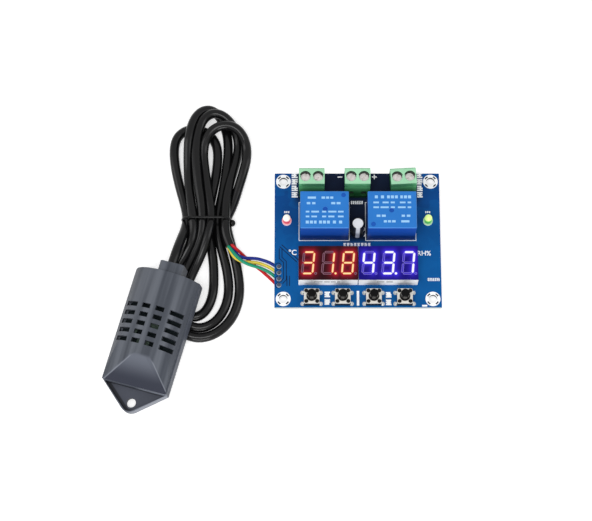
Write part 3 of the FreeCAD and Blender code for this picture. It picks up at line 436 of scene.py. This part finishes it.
probeShape = dict(
    nose=(-86.58, -60.37), turn=16.24,  # the middle of its nose, and its turn in degrees
    hole=(-88.352, -66.1415, -0.1165), holeHeight=0.8,  # a point in the tab's hole, and its height there
    up=(-0.12127, -0.02644, 0.99227),  # square to its underside, because it leans on the lead
    noseHalf=12.8, noseTaper=0.9, noseLength=10.4,
    tabHalf=13.3, tabReach=6.0, tabRadius=4.1, tabRound=-8.6, tabFloor=1.6, tabTop=3.6,
)
probePaint = dict(
    # The light streaks are painted sheen, the nose's foot colour is painted shade, and the crease colour is a
    # painted highlight.
    body=(62, 66, 74), bodyLight=(94, 98, 106), nose=(92, 96, 106), shadedNoseFoot=(46, 49, 60),
    creaseHighlight=(134, 138, 148), creaseHighlightShare=0.5, sheenStreak=(0.16, 0.006), sheenStreakScale=1.6, rough=0.36, gloss=0.14,
)
shellPaint = dict(
    # The lit tab side and tab top are painted highlights, and the shaded tab top, floor, corner and wall
    # colours are painted shade.
    side=(84, 88, 98), sideDeep=(72, 76, 86), litTabSide=(132, 136, 146), tabTop=(96, 100, 110),
    shadedTabTop=(50, 53, 61), floor=(68, 71, 81), corner=(30, 32, 38), wall=(26, 28, 34),
    litSideFade=(-1.0, 3.0), cornerShadowFade=(-2.0, -1.4), rough=0.4, gloss=0.14,
)


# Places across and along the probe from the middle of its nose, and the height over its underside.
def probeAxes(paint):
    x, y, z = paint.axes()
    turn = math.radians(probeShape["turn"])
    dx, dy = x - probeShape["nose"][0], y - probeShape["nose"][1]
    across = dx * math.cos(turn) - dy * math.sin(turn)
    along = dx * math.sin(turn) + dy * math.cos(turn)
    steps = [(v - h) * u for v, h, u in zip((x, y, z), probeShape["hole"], probeShape["up"])]
    return across, along, steps[0] + steps[1] + steps[2] + probeShape["holeHeight"]


# Grey plastic with long soft streaks of painted sheen, and a nose with painted shade that darkens it
# downwards between painted highlights along its creases.
def probeLook():
    paint, tones, shape = Paint("probePlastic"), probePaint, probeShape
    across, along, height = probeAxes(paint)
    fine = paint.noise(0.3)
    wide, long = tones["sheenStreak"]
    line = paint.node("ShaderNodeCombineXYZ", {}, {0: across * wide, 1: along * long})
    sheenStreak = paint.node(
        "ShaderNodeTexNoise", {}, {"Vector": line, "Scale": tones["sheenStreakScale"], "Detail": 2.0})
    body = paint.blend(paint.step(sheenStreak, 0.36, 0.66), rgb(tones["body"]), rgb(tones["bodyLight"]))
    nose = paint.blend(paint.step(along, 1.5, 9.5), rgb(tones["shadedNoseFoot"]), rgb(tones["nose"]))
    flank = paint.size(across) - (shape["noseHalf"] - along * shape["noseTaper"])
    top = shape["noseLength"]
    slope = (1.0 - paint.step(along, top - 0.8, top + 0.8)) * (1.0 - paint.step(flank, -0.3, 0.1))
    creaseHighlight = 1.0 - paint.step(paint.size(flank), 0.1, 0.45)
    creaseHighlight = creaseHighlight * (1.0 - paint.step(along, top - 1.8, top - 0.4))
    return paint.look(
        Base_Color=paint.blend(
            creaseHighlight * tones["creaseHighlightShare"], paint.blend(slope, body, nose), rgb(tones["creaseHighlight"])),
        Roughness=fine * speckle + tones["rough"], Specular_IOR_Level=tones["gloss"],
        Normal=paint.bump(fine, 0.008),
    )


# The back shell and its tab, with painted light: a painted highlight on the tab's right side and top, painted
# shade on its left, and painted shade on the floor and walls of its pocket, with a painted shadow in the
# pocket's left corner. The edge is how far a point is outside the tab's outline, which is two lines that
# touch the circle round the hole, and then that circle.
def shellLook():
    paint, tones, shape = Paint("shellPlastic"), shellPaint, probeShape
    across, along, height = probeAxes(paint)
    soft = paint.noise(6.0, 2.0)
    fine = paint.noise(0.3)
    far = math.hypot(shape["tabHalf"], shape["tabReach"])
    bearing = math.atan2(shape["tabReach"], shape["tabHalf"]) - math.acos(shape["tabRadius"] / far)
    aside, ahead = math.cos(bearing), math.sin(bearing)
    side = paint.size(across) * aside + along * ahead - aside * shape["tabHalf"]
    end = paint.reach(across, along + shape["tabReach"]) - shape["tabRadius"]
    edge = side + (along < shape["tabRound"]) * paint.most(end - side, 0.0)
    inside = (edge < -0.3) * (along < -0.4)
    # Painted light across the tab: painted shade on the left, a painted highlight on the right.
    near = paint.step(across, *tones["litSideFade"])  # from the tab's dark left to its bright right
    base = paint.blend(soft, rgb(tones["side"]), rgb(tones["sideDeep"]))
    outer = paint.blend((along < -0.3) * near, base, rgb(tones["litTabSide"]))
    corner = paint.step(edge, *tones["cornerShadowFade"]) * (1.0 - near)
    bottom = paint.blend(corner, rgb(tones["floor"]), rgb(tones["corner"]))
    above = paint.step(height, shape["tabFloor"] + 0.04, shape["tabFloor"] + 0.12)
    wall = paint.blend(above, bottom, rgb(tones["wall"]))
    rim = paint.blend(near, rgb(tones["shadedTabTop"]), rgb(tones["tabTop"]))
    inner = paint.blend(paint.step(height, shape["tabTop"] - 0.2, shape["tabTop"] - 0.05), wall, rim)
    return paint.look(
        Base_Color=paint.blend(inside, outer, inner), Roughness=fine * speckle + tones["rough"],
        Specular_IOR_Level=tones["gloss"], Normal=paint.bump(fine, 0.008),
    )


sleevePaint = dict(black=(20, 22, 28), stripe=(206, 210, 216), stripeHalf=0.8, rough=0.3, gloss=0.12)


# Black sleeve with one pale stripe down its front.
def sleeveLook():
    paint, tones = Paint("capacitorSleeve"), sleevePaint
    x, y, z = paint.axes()
    low, high = boxOf("capacitor_sleeve")
    off = paint.size(x - (low[0] + high[0]) / 2)
    stripe = 1.0 - paint.step(off, tones["stripeHalf"] - 0.05, tones["stripeHalf"] + 0.05)
    front = (y < (low[1] + high[1]) / 2) * stripe
    fine = paint.noise(0.4)
    return paint.look(
        Base_Color=paint.blend(front, rgb(tones["black"]), rgb(tones["stripe"])),
        Roughness=fine * speckle + tones["rough"], Specular_IOR_Level=tones["gloss"],
        Normal=paint.bump(fine, 0.005),
    )


jointPaint = dict(foot=(214, 218, 222), top=(70, 78, 92), turns=(1.75, 2.1), rough=0.25, metal=0.4)


# Solder round the sensor wires: pale at the foot, with painted shade on its round top.
def jointLook():
    paint, tones = Paint("sensorSolder"), jointPaint
    x, y, z = paint.axes()
    fine = paint.noise(0.5)
    return paint.look(
        Base_Color=paint.blend(paint.step(z, *tones["turns"]), rgb(tones["foot"]), rgb(tones["top"])),
        Roughness=fine * speckle + tones["rough"], Metallic=tones["metal"], Normal=paint.bump(fine, 0.02),
    )


lamps = {
    "redLamp": dict(node="led_red", core=(255, 250, 236), body=(236, 132, 140), wall=(200, 26, 60)),
    "greenLamp": dict(node="led_green", core=(226, 255, 150), body=(120, 216, 84), wall=(44, 150, 66)),
}
lampPaint = dict(
    shift=(-0.3, 0.05), spread=0.9, dome=(4.1, 4.7), side=(2.6, 4.0), foot=(2.5, 2.7), footPale=0.55,
    dark=(10, 10, 10), darkShare=0.5, glow=0.62,
)


# A lit lamp. Its level, the height less a share of the distance from the lit middle, takes the colour
# from the wall's to the body's and then the core's. The foot is paler.
def lampLook(name, node, core, body, wall):
    paint, lamp = Paint(name), lampPaint
    x, y, z = paint.axes()
    low, high = boxOf(node)
    dx, dy = (v - ((a + b) / 2 + shift) for v, a, b, shift in zip((x, y), low, high, lamp["shift"]))
    level = z - paint.reach(dx, dy) * lamp["spread"]
    lit = paint.blend(paint.step(level, *lamp["dome"]), rgb(body), rgb(core))
    lit = paint.blend(paint.step(level, *lamp["side"]), rgb(wall), lit)
    foot = paint.blend(lamp["footPale"], rgb(body), (1.0, 1.0, 1.0, 1.0))
    full = paint.blend(paint.step(z, *lamp["foot"]), foot, lit)
    return paint.look(
        Base_Color=paint.blend(lamp["darkShare"], full, rgb(lamp["dark"])), Roughness=level * 0.01 + 0.15,
        Emission_Color=full, Emission_Strength=lamp["glow"],
    )


looks["board"] = boardLook()
looks["sensorSolder"] = jointLook()
looks["sleeve"] = sleeveLook()
for name, settings in lamps.items():
    looks[name] = lampLook(name, **settings)
looks["relayPlastic"] = relayLook()
looks["padTin"] = ringLook()
looks["probePlastic"] = probeLook()
looks["shellPlastic"] = shellLook()
for side in ("left", "middle", "right"):
    looks[side + "Terminal"] = terminalLook(side)

dressed = {  # the finish of each node that is carried over
    "board": ["circuit_board"], "padTin": ["hole_plating"],
    "relayPlastic": ["relay_left_case", "relay_right_case"], "relaySeal": ["relay_bases"],
    "tin": ["component_leads", "button_legs", "chip_leads"], "shadedPinSteel": ["terminal_pins"],
    "whitePlastic": ["display_left_housing", "display_right_housing"],
    "blackPlastic": ["button_bases"] + ["button_%d_stem" % number for number in range(1, 5)],
    "buttonSteel": ["button_covers"], "redLamp": ["led_red"], "greenLamp": ["led_green"],
    "canAluminium": ["capacitor_can"], "sleeve": ["capacitor_sleeve"], "solder": ["solder_joints"],
    "sensorSolder": ["sensor_joints"], "chipBlack": ["mcu_chip", "driver_chip", "power_parts"],
    "passiveTan": ["chip_passives"], "probePlastic": ["probe_front_cover"],
    "shellPlastic": ["probe_back_shell"], "sensorBoard": ["probe_sensor_board"],
    "sensorWhite": ["probe_sensor_parts"], "tieBlack": ["cable_tie"], "screwSteel": [], "cageSteel": [],
}
for side in ("left", "middle", "right"):
    dressed[side + "Terminal"] = ["terminal_%s_housing" % side]
    dressed["screwSteel"] += ["%s_screw_%d" % (side, number) for number in (1, 2)]
    dressed["cageSteel"] += ["%s_cage_%d" % (side, number) for number in (1, 2)]


# One finish all over a piece.
def dress(piece, look):
    if len(piece.material_slots) == 0:
        piece.data.materials.append(look)
    for slot in piece.material_slots:
        slot.material = look


for name, carried in dressed.items():
    for node in carried:
        dress(nodes[node], looks[name])
dress(lead, looks["leadBlack"])
for color, core in cores.items():
    dress(core, looks[color + "Core"])
print("materials made")


# A mesh from points in millimetres.
def meshPiece(name, points, faces, look):
    mesh = bpy.data.meshes.new(name)
    mesh.from_pydata((np.array(points, float) * mm).tolist(), [], faces)
    mesh.update()
    mesh.polygons.foreach_set("use_smooth", [False] * len(mesh.polygons))
    return show(bpy.data.objects.new(name, mesh), look)


# A value at each point of a piece, for its finish to read.
def hold(piece, name, values):
    piece.data.attributes.new(name, "FLOAT", "POINT").data.foreach_set("value", values)


facePlates = {
    "leftFace": dict(
        node="display_left_face", lit="display_left_lit_strokes", slot="face_red",
        back=(14, 6, 8), near=(186, 26, 52), far=(38, 8, 16),
    ),
    "rightFace": dict(
        node="display_right_face", lit="display_right_lit_strokes", slot="face_blue",
        back=(8, 6, 26), near=(72, 50, 246), far=(20, 10, 124),
    ),
}
facePaint = dict(across=170, down=100, sink=0.03, samples=6, fall=-1.1, glow=0.85, shade=0.92, gloss=0.05)


# A tinted plate as large as its node. Each point holds its distance from the nearest lit stroke, and
# the glow there is e to the power of the fall times that distance, in millimetres.
def facePlate(name, node, lit, slot, back, near, far):
    low, high = boxOf(node)
    u, v = np.meshgrid(np.linspace(0, 1, facePaint["across"]), np.linspace(0, 1, facePaint["down"]))
    x = low[0] + u * (high[0] - low[0])
    y = low[1] + v * (high[1] - low[1])
    grid = np.stack([x, y, np.full_like(x, high[2] - facePaint["sink"])], -1).reshape(-1, 3)
    index = np.arange(len(grid)).reshape(x.shape)
    quads = np.stack([index[:-1, :-1], index[:-1, 1:], index[1:, 1:], index[1:, :-1]], -1).reshape(-1, 4)
    rim = np.concatenate([index[0, :-1], index[:-1, -1], index[-1, :0:-1], index[:0:-1, 0]])
    foot = len(grid) + np.arange(len(rim))
    walls = np.stack([np.roll(rim, -1), rim, foot, np.roll(foot, -1)], -1)
    points = np.concatenate([grid, grid[rim] * [1, 1, 0] + [0, 0, low[2]]])
    litMesh = nodes[lit].data
    litMesh.calc_loop_triangles()
    corners = np.array([v.co[:2] for v in litMesh.vertices]) / mm
    triangles = np.array([t.vertices for t in litMesh.loop_triangles])
    parts = facePaint["samples"]
    shares = np.array([(a, b, parts - a - b) for a in range(parts + 1) for b in range(parts + 1 - a)])
    spots = np.einsum("sk,tkc->tsc", shares / parts, corners[triangles]).reshape(-1, 2)
    spots = np.unique(np.round(spots, 1), axis=0)
    away = [np.sqrt(((p[:, None, :2] - spots) ** 2).sum(-1)).min(1) for p in np.array_split(points, 10)]
    paint = Paint(name + "Look")
    glow = paint.math("POWER", 2.718, paint.held("away") * facePaint["fall"])
    soft = paint.noise(1.2, 2.0)
    look = paint.look(
        Base_Color=paint.blend(soft, rgb(back), rgb([facePaint["shade"] * c for c in back])),
        Roughness=soft * speckle + 0.35, Specular_IOR_Level=facePaint["gloss"],
        Normal=paint.bump(soft, 0.004, 0.4),
        Emission_Color=paint.blend(glow, rgb(far), rgb(near)), Emission_Strength=facePaint["glow"],
    )
    piece = meshPiece(name, points, quads.tolist() + walls.tolist() + [foot[::-1].tolist()], look)
    hold(piece, "away", np.concatenate(away))
    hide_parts(node)


# The outlines of a node's flat tops, each turning left. They are the sides of the top's triangles
# that no other triangle shares.
def loopsOf(node):
    mesh = nodes[node].data
    top = max(v.co.z for v in mesh.vertices) - 1e-6
    mesh.calc_loop_triangles()
    spot = {v.index: (round(v.co.x / mm, 3), round(v.co.y / mm, 3)) for v in mesh.vertices}
    edges = set()
    for triangle in mesh.loop_triangles:
        if all(mesh.vertices[i].co.z > top for i in triangle.vertices):
            a, b, c = (spot[i] for i in triangle.vertices)
            edges |= {(a, b), (b, c), (c, a)}
    follow = {a: b for a, b in edges if (b, a) not in edges}
    loops = []
    while follow:
        start, here = follow.popitem()
        loop = [start]
        while here != start:
            loop.append(here)
            here = follow.pop(here)
        loops.append(loop)
    return loops, top / mm


# The line moved to its left. Each point goes along the mean of the two leftward directions that meet
# there, by the shift over the cosine between that mean and the first, or over least if that is more.
def sideways(line, shift, closed, least):
    line = np.array(line, float)
    after = np.roll(line, -1, 0) - line
    after /= np.linalg.norm(after, axis=1)[:, None]
    before = np.roll(after, 1, 0)
    if not closed:
        after[-1], before[0] = before[-1], after[0]
    first, second = (np.stack([-way[:, 1], way[:, 0]], -1) for way in (before, after))
    mean = first + second
    mean /= np.linalg.norm(mean, axis=1)[:, None]
    return line + mean * (shift / np.maximum((mean * first).sum(-1), least))[:, None]


strokes = {
    "leftLit": dict(
        node="display_left_lit_strokes", edge=0.06, middle=0.34, body=(40, 20, 10), rim=(255, 158, 70),
        core=(255, 228, 172), glow=1.0, slot="glow_amber",
    ),
    "rightLit": dict(
        node="display_right_lit_strokes", edge=0.02, middle=0.2, body=(40, 40, 50), rim=(214, 206, 255),
        core=(255, 255, 255), glow=1.0, slot="glow_white",
    ),
    # The unlit strokes' pale colour is given as a glow, which is painted light, brightest at the rim.
    "leftUnlit": dict(
        node="display_left_unlit_strokes", edge=0.05, middle=0.32, body=(30, 18, 24), rim=(166, 122, 140),
        core=(84, 40, 56), glow=0.9, slot="unlit_mauve",
    ),
    "rightUnlit": dict(
        node="display_right_unlit_strokes", edge=0.05, middle=0.32, body=(24, 20, 60), rim=(150, 138, 240),
        core=(56, 38, 190), glow=0.9, slot="unlit_lavender",
    ),
}


# Display strokes. Their depth rises from 0 at the edge to 1 at the middle, and the colour with it.
def strokePiece(name, node, edge, middle, body, rim, core, glow, slot):
    paint = Paint(name + "Look")
    depth = paint.held("depth")
    look = paint.look(
        Base_Color=paint.blend(depth, rgb(body), rgb([0.9 * c for c in body])), Roughness=0.5,
        Specular_IOR_Level=0.1, Emission_Color=paint.blend(paint.step(depth, 0.1, 0.9), rgb(rim), rgb(core)),
        Emission_Strength=glow,
    )
    points, rings, depths = [], [], []
    loops, top = loopsOf(node)
    for loop in loops:
        first, count = len(points), len(loop)
        for inset, value in ((edge, 0.0), (middle, 1.0)):
            points += [(x, y, top + 0.004) for x, y in sideways(loop, inset, True, 0.5)]
            depths += [value] * count
        for k in range(count):
            after = (k + 1) % count
            rings.append((first + k, first + after, first + count + after, first + count + k))
        rings.append(tuple(range(first + count, first + 2 * count)))
    piece = meshPiece(name, points, rings, look)
    hold(piece, "depth", depths)
    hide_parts(node)


for name, settings in facePlates.items():
    facePlate(name, **settings)
for name, settings in strokes.items():
    strokePiece(name, **settings)
print("display faces made")

inkLift = 0.02  # of print over what it is on
inkZ = boardTop + inkLift


# A flat line of that width, as points and faces.
def ribbon(line, width, closed=False, z=inkZ):
    left, right = (sideways(line, side * width / 2, closed, 0.4) for side in (1, -1))
    count = len(left)
    points = [(x, y, z) for pair in zip(left, right) for x, y in pair]
    pairs = [(2 * k, 2 * ((k + 1) % count)) for k in range(count if closed else count - 1)]
    return points, [(a, a + 1, b + 1, b) for a, b in pairs]


# A circle, or its arc between two angles in degrees.
def circle(cx, cy, r, start=0.0, end=360.0, parts=48):
    angles = np.radians(np.linspace(start, end, parts, endpoint=end - start < 360))
    return [(cx + r * math.cos(a), cy + r * math.sin(a)) for a in angles]


# The corners of a rectangle, turning left.
def rectangle(x0, y0, x1, y1):
    return [(x0, y0), (x1, y0), (x1, y1), (x0, y1)]


# A filled outline.
def patch(outline, z=inkZ):
    return [(x, y, z) for x, y in outline], [tuple(range(len(outline)))]


# Several shapes as one piece.
def inkPiece(name, shapes, look):
    points, rings = [], []
    for spots, corners in shapes:
        rings += [tuple(corner + len(points) for corner in ring) for ring in corners]
        points += spots
    meshPiece(name, points, rings, looks[look])


# A generic block of short strokes that stands for a printed character: a stem and three bars, which
# reach as far as kind says.
def glyph(cx, cy, w, h, kind):
    at = cx + w * (kind[0] - kind[2]) * 0.3
    marks = [patch(rectangle(at - w * 0.16, cy - h / 2, at + w * 0.16, cy + h / 2), inkZ + 0.01)]
    for k, reach in zip((-0.37, 0.0, 0.37), kind):
        bar = rectangle(cx - w / 2, cy + h * (k - 0.13), cx + w / 2 * reach, cy + h * (k + 0.13))
        marks.append(patch(bar))
    return marks


kinds = ((1.0, 0.6, 1.0), (0.7, 1.0, 1.0), (1.0, 1.0, 0.6), (1.0, 0.8, 0.9))
boardInk = dict(
    relayRoom=(0.45, 0.2, 0.45, 0.55), relayLine=0.23,  # left, front, right and back of a relay's case
    line=0.3, arc=(3.3, -35, 60, 16), tick=[(2.2, 3.4), (3.4, 4.8)],
    lampDashes=(-0.75, 0.0, 0.75), lampDashHalf=0.27, lampEnds=(11.2, 12.0),
    columns=((-25.0, 2.4), (25.2, 2.2)), columnTop=27.2, columnStep=2.75, height=2.3,
    signs=((-12.12, -22.66), (-12.13, -25.74), (12.09, -22.83), (12.04, -25.9)),
    signWidth=2.2, signBlock=(0.75, 0.85),
    blocks=((-0.5, -27.2, 0.45, -21.2), (25.2, -27.6, 27.2, -26.9)),
    rows=((-5.8, -2.75, 5.35, -1.35, 8), (27.5, -17.1, 32.4, -15.9, 7), (-2.6, 15.0, 2.4, 16.3, 6)),
)
silk = []
for side in ("left", "right"):
    low, high = boxOf("relay_%s_case" % side)
    left, front, right, back = boardInk["relayRoom"]
    around = rectangle(low[0] - left, low[1] - front, high[0] + right, high[1] + back)
    silk.append(ribbon(around, boardInk["relayLine"], True))
low, high = boxOf("capacitor_sleeve")
silk.append(ribbon(circle(*((low + high) / 2)[:2], *boardInk["arc"]), boardInk["line"]))
silk.append(ribbon(boardInk["tick"], boardInk["line"]))
for node in ("led_red", "led_green"):
    low, high = boxOf(node)
    for shift in boardInk["lampDashes"]:
        cx, half = (low[0] + high[0]) / 2 + shift, boardInk["lampDashHalf"]
        silk.append(patch(rectangle(cx - half, boardInk["lampEnds"][0], cx + half, boardInk["lampEnds"][1])))
for cx, width in boardInk["columns"]:
    for k, kind in enumerate(kinds):
        silk += glyph(cx, boardInk["columnTop"] - boardInk["columnStep"] * k, width, boardInk["height"], kind)
for kind, (x, y) in zip(kinds, boardInk["signs"]):
    dx, dy = boardInk["signBlock"]
    silk += glyph(x, y, boardInk["signWidth"], boardInk["height"], kind)
    silk.append(patch(rectangle(x - dx, y - dy, x + dx, y + dy), inkZ + 0.02))
silk += [patch(rectangle(*block)) for block in boardInk["blocks"]]
for x0, y0, x1, y1, parts in boardInk["rows"]:
    width = (x1 - x0) / parts
    for k in range(parts):
        silk += glyph(x0 + (k + 0.5) * width, (y0 + y1) / 2, width * 0.74, y1 - y0, kinds[k % 4])
inkPiece("boardPrint", silk, "silkWhite")

buttons = dict(
    pitch=12.2, leg=(3.55, 2.25), pad=0.5, padLine=0.75,  # the leg's place, and the pad round it
    ring=1.95, ringLine=0.34, rivet=2.15, head=0.4, headLine=0.78, headLift=0.215,
)
coverLow, coverHigh = boxOf("button_covers")
buttonY = (coverLow[1] + coverHigh[1]) / 2
buttonXs = [(k - 1.5) * buttons["pitch"] for k in range(4)]
corners = [(dx, dy) for dx in (-1, 1) for dy in (-1, 1)]
pads = []
for cx in buttonXs:
    for dx, dy in corners:
        legX, legY = cx + dx * buttons["leg"][0], buttonY + dy * buttons["leg"][1]
        pad = circle(legX, legY, buttons["pad"], parts=20)
        pads.append(ribbon(pad, buttons["padLine"], True, inkZ - 0.005))
inkPiece("legPads", pads, "solder")

channels = (  # buried traces: the middle line of each, and the distance between its two dark sides
    ([(-30.58, -2.42), (-23.7, -8.91)], 1.1),
    ([(-30.57, -3.55), (-30.57, -7.54), (-28.86, -9.2), (-28.84, -16.32), (-30.15, -17.85)], 1.1),
    ([(-27.54, -14.96), (-27.54, -19.21)], 1.0),
)
traceInk = dict(side=0.34, margin=0.9, ring=1.12, ringLine=0.3)  # the rings are round the sensor joints
traces = []
for route, width in channels:
    for shift in (-width / 2, width / 2):
        rim = sideways(route, shift, False, 0.6)
        traces.append(ribbon(rim, traceInk["side"], z=inkZ - 0.01))
low, high = boxOf("sensor_joints")
for cy in np.linspace(low[1] + traceInk["margin"], high[1] - traceInk["margin"], 4):
    around = circle((low[0] + high[0]) / 2, cy, traceInk["ring"], parts=24)
    traces.append(ribbon(around, traceInk["ringLine"], True, inkZ - 0.01))
inkPiece("boardTraces", traces, "traceBlue")

ringSlots = dict(padRadius=2.95, r=2.3, half=17, line=0.5)  # the dark slots in each mounting ring
low, high = boxOf("hole_plating")
dark = []
for cx in (low[0] + ringSlots["padRadius"], high[0] - ringSlots["padRadius"]):
    for cy in (low[1] + ringSlots["padRadius"], high[1] - ringSlots["padRadius"]):
        for middle in (45, 135, 225, 315):
            arc = circle(cx, cy, ringSlots["r"], middle - ringSlots["half"], middle + ringSlots["half"], 8)
            dark.append(ribbon(arc, ringSlots["line"], z=high[2] + inkLift))
inkPiece("ringMarks", dark, "rivetBlack")

# Painted shade on the back edge of each screw's well.
well = dict(r=2.11, start=14, end=166, parts=20, line=0.3)  # the dark back edge of a screw's well
shades = []
for side in ("left", "middle", "right"):
    top = boxOf("terminal_%s_housing" % side)[1][2]
    for number in (1, 2):
        low, high = boxOf("%s_screw_%d" % (side, number))
        cx, cy = ((low + high) / 2)[:2]
        arc = circle(cx, cy, well["r"], well["start"], well["end"], well["parts"])
        shades.append(ribbon(arc, well["line"], z=top + inkLift))
inkPiece("wellShade", shades, "wellShadeGreen")

rivets = []
headZ = coverHigh[2] + buttons["headLift"]
for cx in buttonXs:
    rivets.append(ribbon(circle(cx, buttonY, buttons["ring"], parts=32), buttons["ringLine"], True, headZ))
    for dx, dy in corners:
        headX, headY = cx + dx * buttons["rivet"], buttonY + dy * buttons["rivet"]
        head = circle(headX, headY, buttons["head"], parts=16)
        rivets.append(ribbon(head, buttons["headLine"], True, headZ))
inkPiece("rivetHeads", rivets, "rivetBlack")

relayRows = (  # the middle of each row of dashes, its height, and the ends of its dashes
    (4.9, 0.9, ((-6.6, -3.4), (-1.2, 0.2), (0.6, 1.8), (2.2, 3.4))),
    (2.6, 0.9, ((-7.0, -5.6), (-4.9, -3.6), (2.6, 4.2), (4.7, 6.2))),
    (-0.9, 0.7, ((-7.4, -6.0), (-5.2, -2.2), (-1.0, 0.6), (1.4, 4.6), (5.2, 7.4))),
    (-2.9, 0.7, ((-7.4, -6.0), (-5.2, -3.0), (-1.0, 0.6), (1.4, 3.8), (5.2, 7.4))),
    (-5.2, 1.2, (
        (-7.4, -6.2), (-5.8, -4.6), (-4.2, -3.2), (-2.2, -1.1), (-0.7, 0.5), (0.9, 2.0), (3.2, 4.4),
        (5.6, 6.8),
    )),
)
# Discs of painted shade in the relays' dimples.
dimple = dict(r=0.93, parts=28, places=((0.25, 0.3, -0.33), (7.45, 6.0, 0.02)))
dimples = []
for side, turn in (("left", 1), ("right", -1)):  # the right relay is turned round
    low, high = boxOf("relay_%s_case" % side)
    cx, cy = ((low + high) / 2)[:2]
    dashes = []
    for y, height, spans in relayRows:
        for span in spans:
            x0, x1 = sorted(turn * end for end in span)
            row = rectangle(cx + x0, cy + turn * y - height / 2, cx + x1, cy + turn * y + height / 2)
            dashes.append(patch(row, high[2] + inkLift))
    inkPiece(side + "RelayPrint", dashes, "relayPrint")
    for dx, dy, z in dimple["places"]:
        disc = circle(cx + turn * dx, cy + turn * dy, dimple["r"], parts=dimple["parts"])
        dimples.append(patch(disc, high[2] + z))
inkPiece("relayDimpleShade", dimples, "dimpleShadeBlue")

housingMarks = dict(
    level=0.55, height=0.8, out=0.01,
    left=((-5.6, -2.2), (-1.6, 0.6), (1.0, 3.0), (3.6, 4.6)), right=((-4.6, -1.6), (-0.8, 1.8)),
)
bars = []
for side in ("left", "right"):
    low, high = boxOf("display_%s_housing" % side)
    cx, y = (low[0] + high[0]) / 2, low[1] - housingMarks["out"]
    z0 = low[2] + housingMarks["level"] * (high[2] - low[2])
    for a, b in housingMarks[side]:
        upright = rectangle(cx + a, z0, cx + b, z0 + housingMarks["height"])
        bars.append(([(x, y, z) for x, z in upright], [(0, 1, 2, 3)]))
inkPiece("housingMarks", bars, "markGrey")

words = {
    "degreeMark": dict(text="°C", x=-25.8, y=-5.4, size=3.0, weight=0.06),
    "humidityMark": dict(text="RH%", x=26.35, y=-5.7, size=2.75, weight=0.035),
    "minusMark": dict(text="−", x=-6.78, y=26.3, size=3.5, weight=0.1),
    "plusMark": dict(text="+", x=7.01, y=26.35, size=3.7, weight=0.1),
}


# Flat lettering on the board, made thicker by weight on each side.
def lettering(name, text, x, y, size, weight):
    curve = bpy.data.curves.new(name, "FONT")
    curve.body = text
    curve.size = size * mm
    curve.offset = weight * mm
    curve.align_x, curve.align_y = "CENTER", "CENTER"
    draft = bpy.data.objects.new(name + "Draft", curve)
    bpy.context.collection.objects.link(draft)
    bpy.context.view_layer.update()
    shape = bpy.data.meshes.new_from_object(draft)
    bpy.data.objects.remove(draft)
    shape.transform(Matrix.Translation((x * mm, y * mm, inkZ * mm)))
    shape.materials.clear()
    show(bpy.data.objects.new(name, shape), looks["silkWhite"])


for name, settings in words.items():
    lettering(name, **settings)
print("board print made")


# One grey for the rays that only light the part, and a paler one for what is seen, by the camera, in a
# reflection or through glass.
def twoGreys(tree, dark, pale):
    path = tree.nodes.new("ShaderNodeLightPath")
    seen = path.outputs["Is Camera Ray"]
    for kind in ("Is Glossy Ray", "Is Transmission Ray"):
        either = tree.nodes.new("ShaderNodeMath")
        either.operation = "MAXIMUM"
        tree.links.new(seen, either.inputs[0])
        tree.links.new(path.outputs[kind], either.inputs[1])
        seen = either.outputs[0]
    mix = tree.nodes.new("ShaderNodeMix")
    mix.data_type = "RGBA"
    tree.links.new(seen, mix.inputs[0])
    mix.inputs[6].default_value = (dark, dark, dark, 1.0)
    mix.inputs[7].default_value = (pale, pale, pale, 1.0)
    return mix.outputs[2]


floor = dict(reach=0.32, z=-2.02 * mm, color=(0.6, 0.8), glow=(0.0, 1.0), strength=0.45)
room = dict(color=(0.4, 1.0))
aim = Vector((-0.03, 0.0, 0.0))  # the middle of the part, which the lights face
lights = {
    "topLight": dict(place=(-0.1, -0.35, 0.95), size=(0.6, 0.35), power=4.7),
    "leftLight": dict(place=(-0.75, 0.1, 0.6), size=(0.3, 0.8), power=2.0),
    "rightLight": dict(place=(0.7, 0.0, 0.6), size=(0.3, 0.8), power=1.5),
    "frontLight": dict(place=(-0.05, -0.9, 0.25), size=(0.6, 0.25), power=4.0),
}


# A wide square just below the part's lowest point.
def stagePlane():
    reach, z = floor["reach"], floor["z"]
    mesh = bpy.data.meshes.new("paleFloor")
    mesh.from_pydata([(x, y, z) for x, y in rectangle(-reach, -reach, reach, reach)], [], [(0, 1, 2, 3)])
    plane = bpy.data.objects.new("paleFloor", mesh)
    bpy.context.collection.objects.link(plane)
    paint = Paint("paleFloorLook")
    color, glow = (Val(paint, twoGreys(paint.tree, *floor[key])) for key in ("color", "glow"))
    mesh.materials.append(paint.look(
        Base_Color=color, Roughness=0.9, Specular_IOR_Level=0.0,
        Emission_Color=glow, Emission_Strength=floor["strength"],
    ))


# A rectangular light that is turned to the middle of the part.
def softbox(name, place, size, power):
    light = bpy.data.lights.new(name, "AREA")
    light.shape, light.size, light.size_y, light.energy = "RECTANGLE", size[0], size[1], power
    holder = bpy.data.objects.new(name, light)
    holder.location = place
    holder.rotation_euler = (aim - Vector(place)).to_track_quat("-Z", "Y").to_euler()
    bpy.context.collection.objects.link(holder)


stagePlane()
for name, settings in lights.items():
    softbox(name, **settings)
world = bpy.data.worlds.new("paleRoom")
bpy.context.scene.world = world
world.use_nodes = True
backdrop = world.node_tree.nodes["Background"]
world.node_tree.links.new(twoGreys(world.node_tree, *room["color"]), backdrop.inputs[0])
bpy.context.scene.view_settings.view_transform = "Standard"
print("stage made")

bpy.context.view_layer.update()
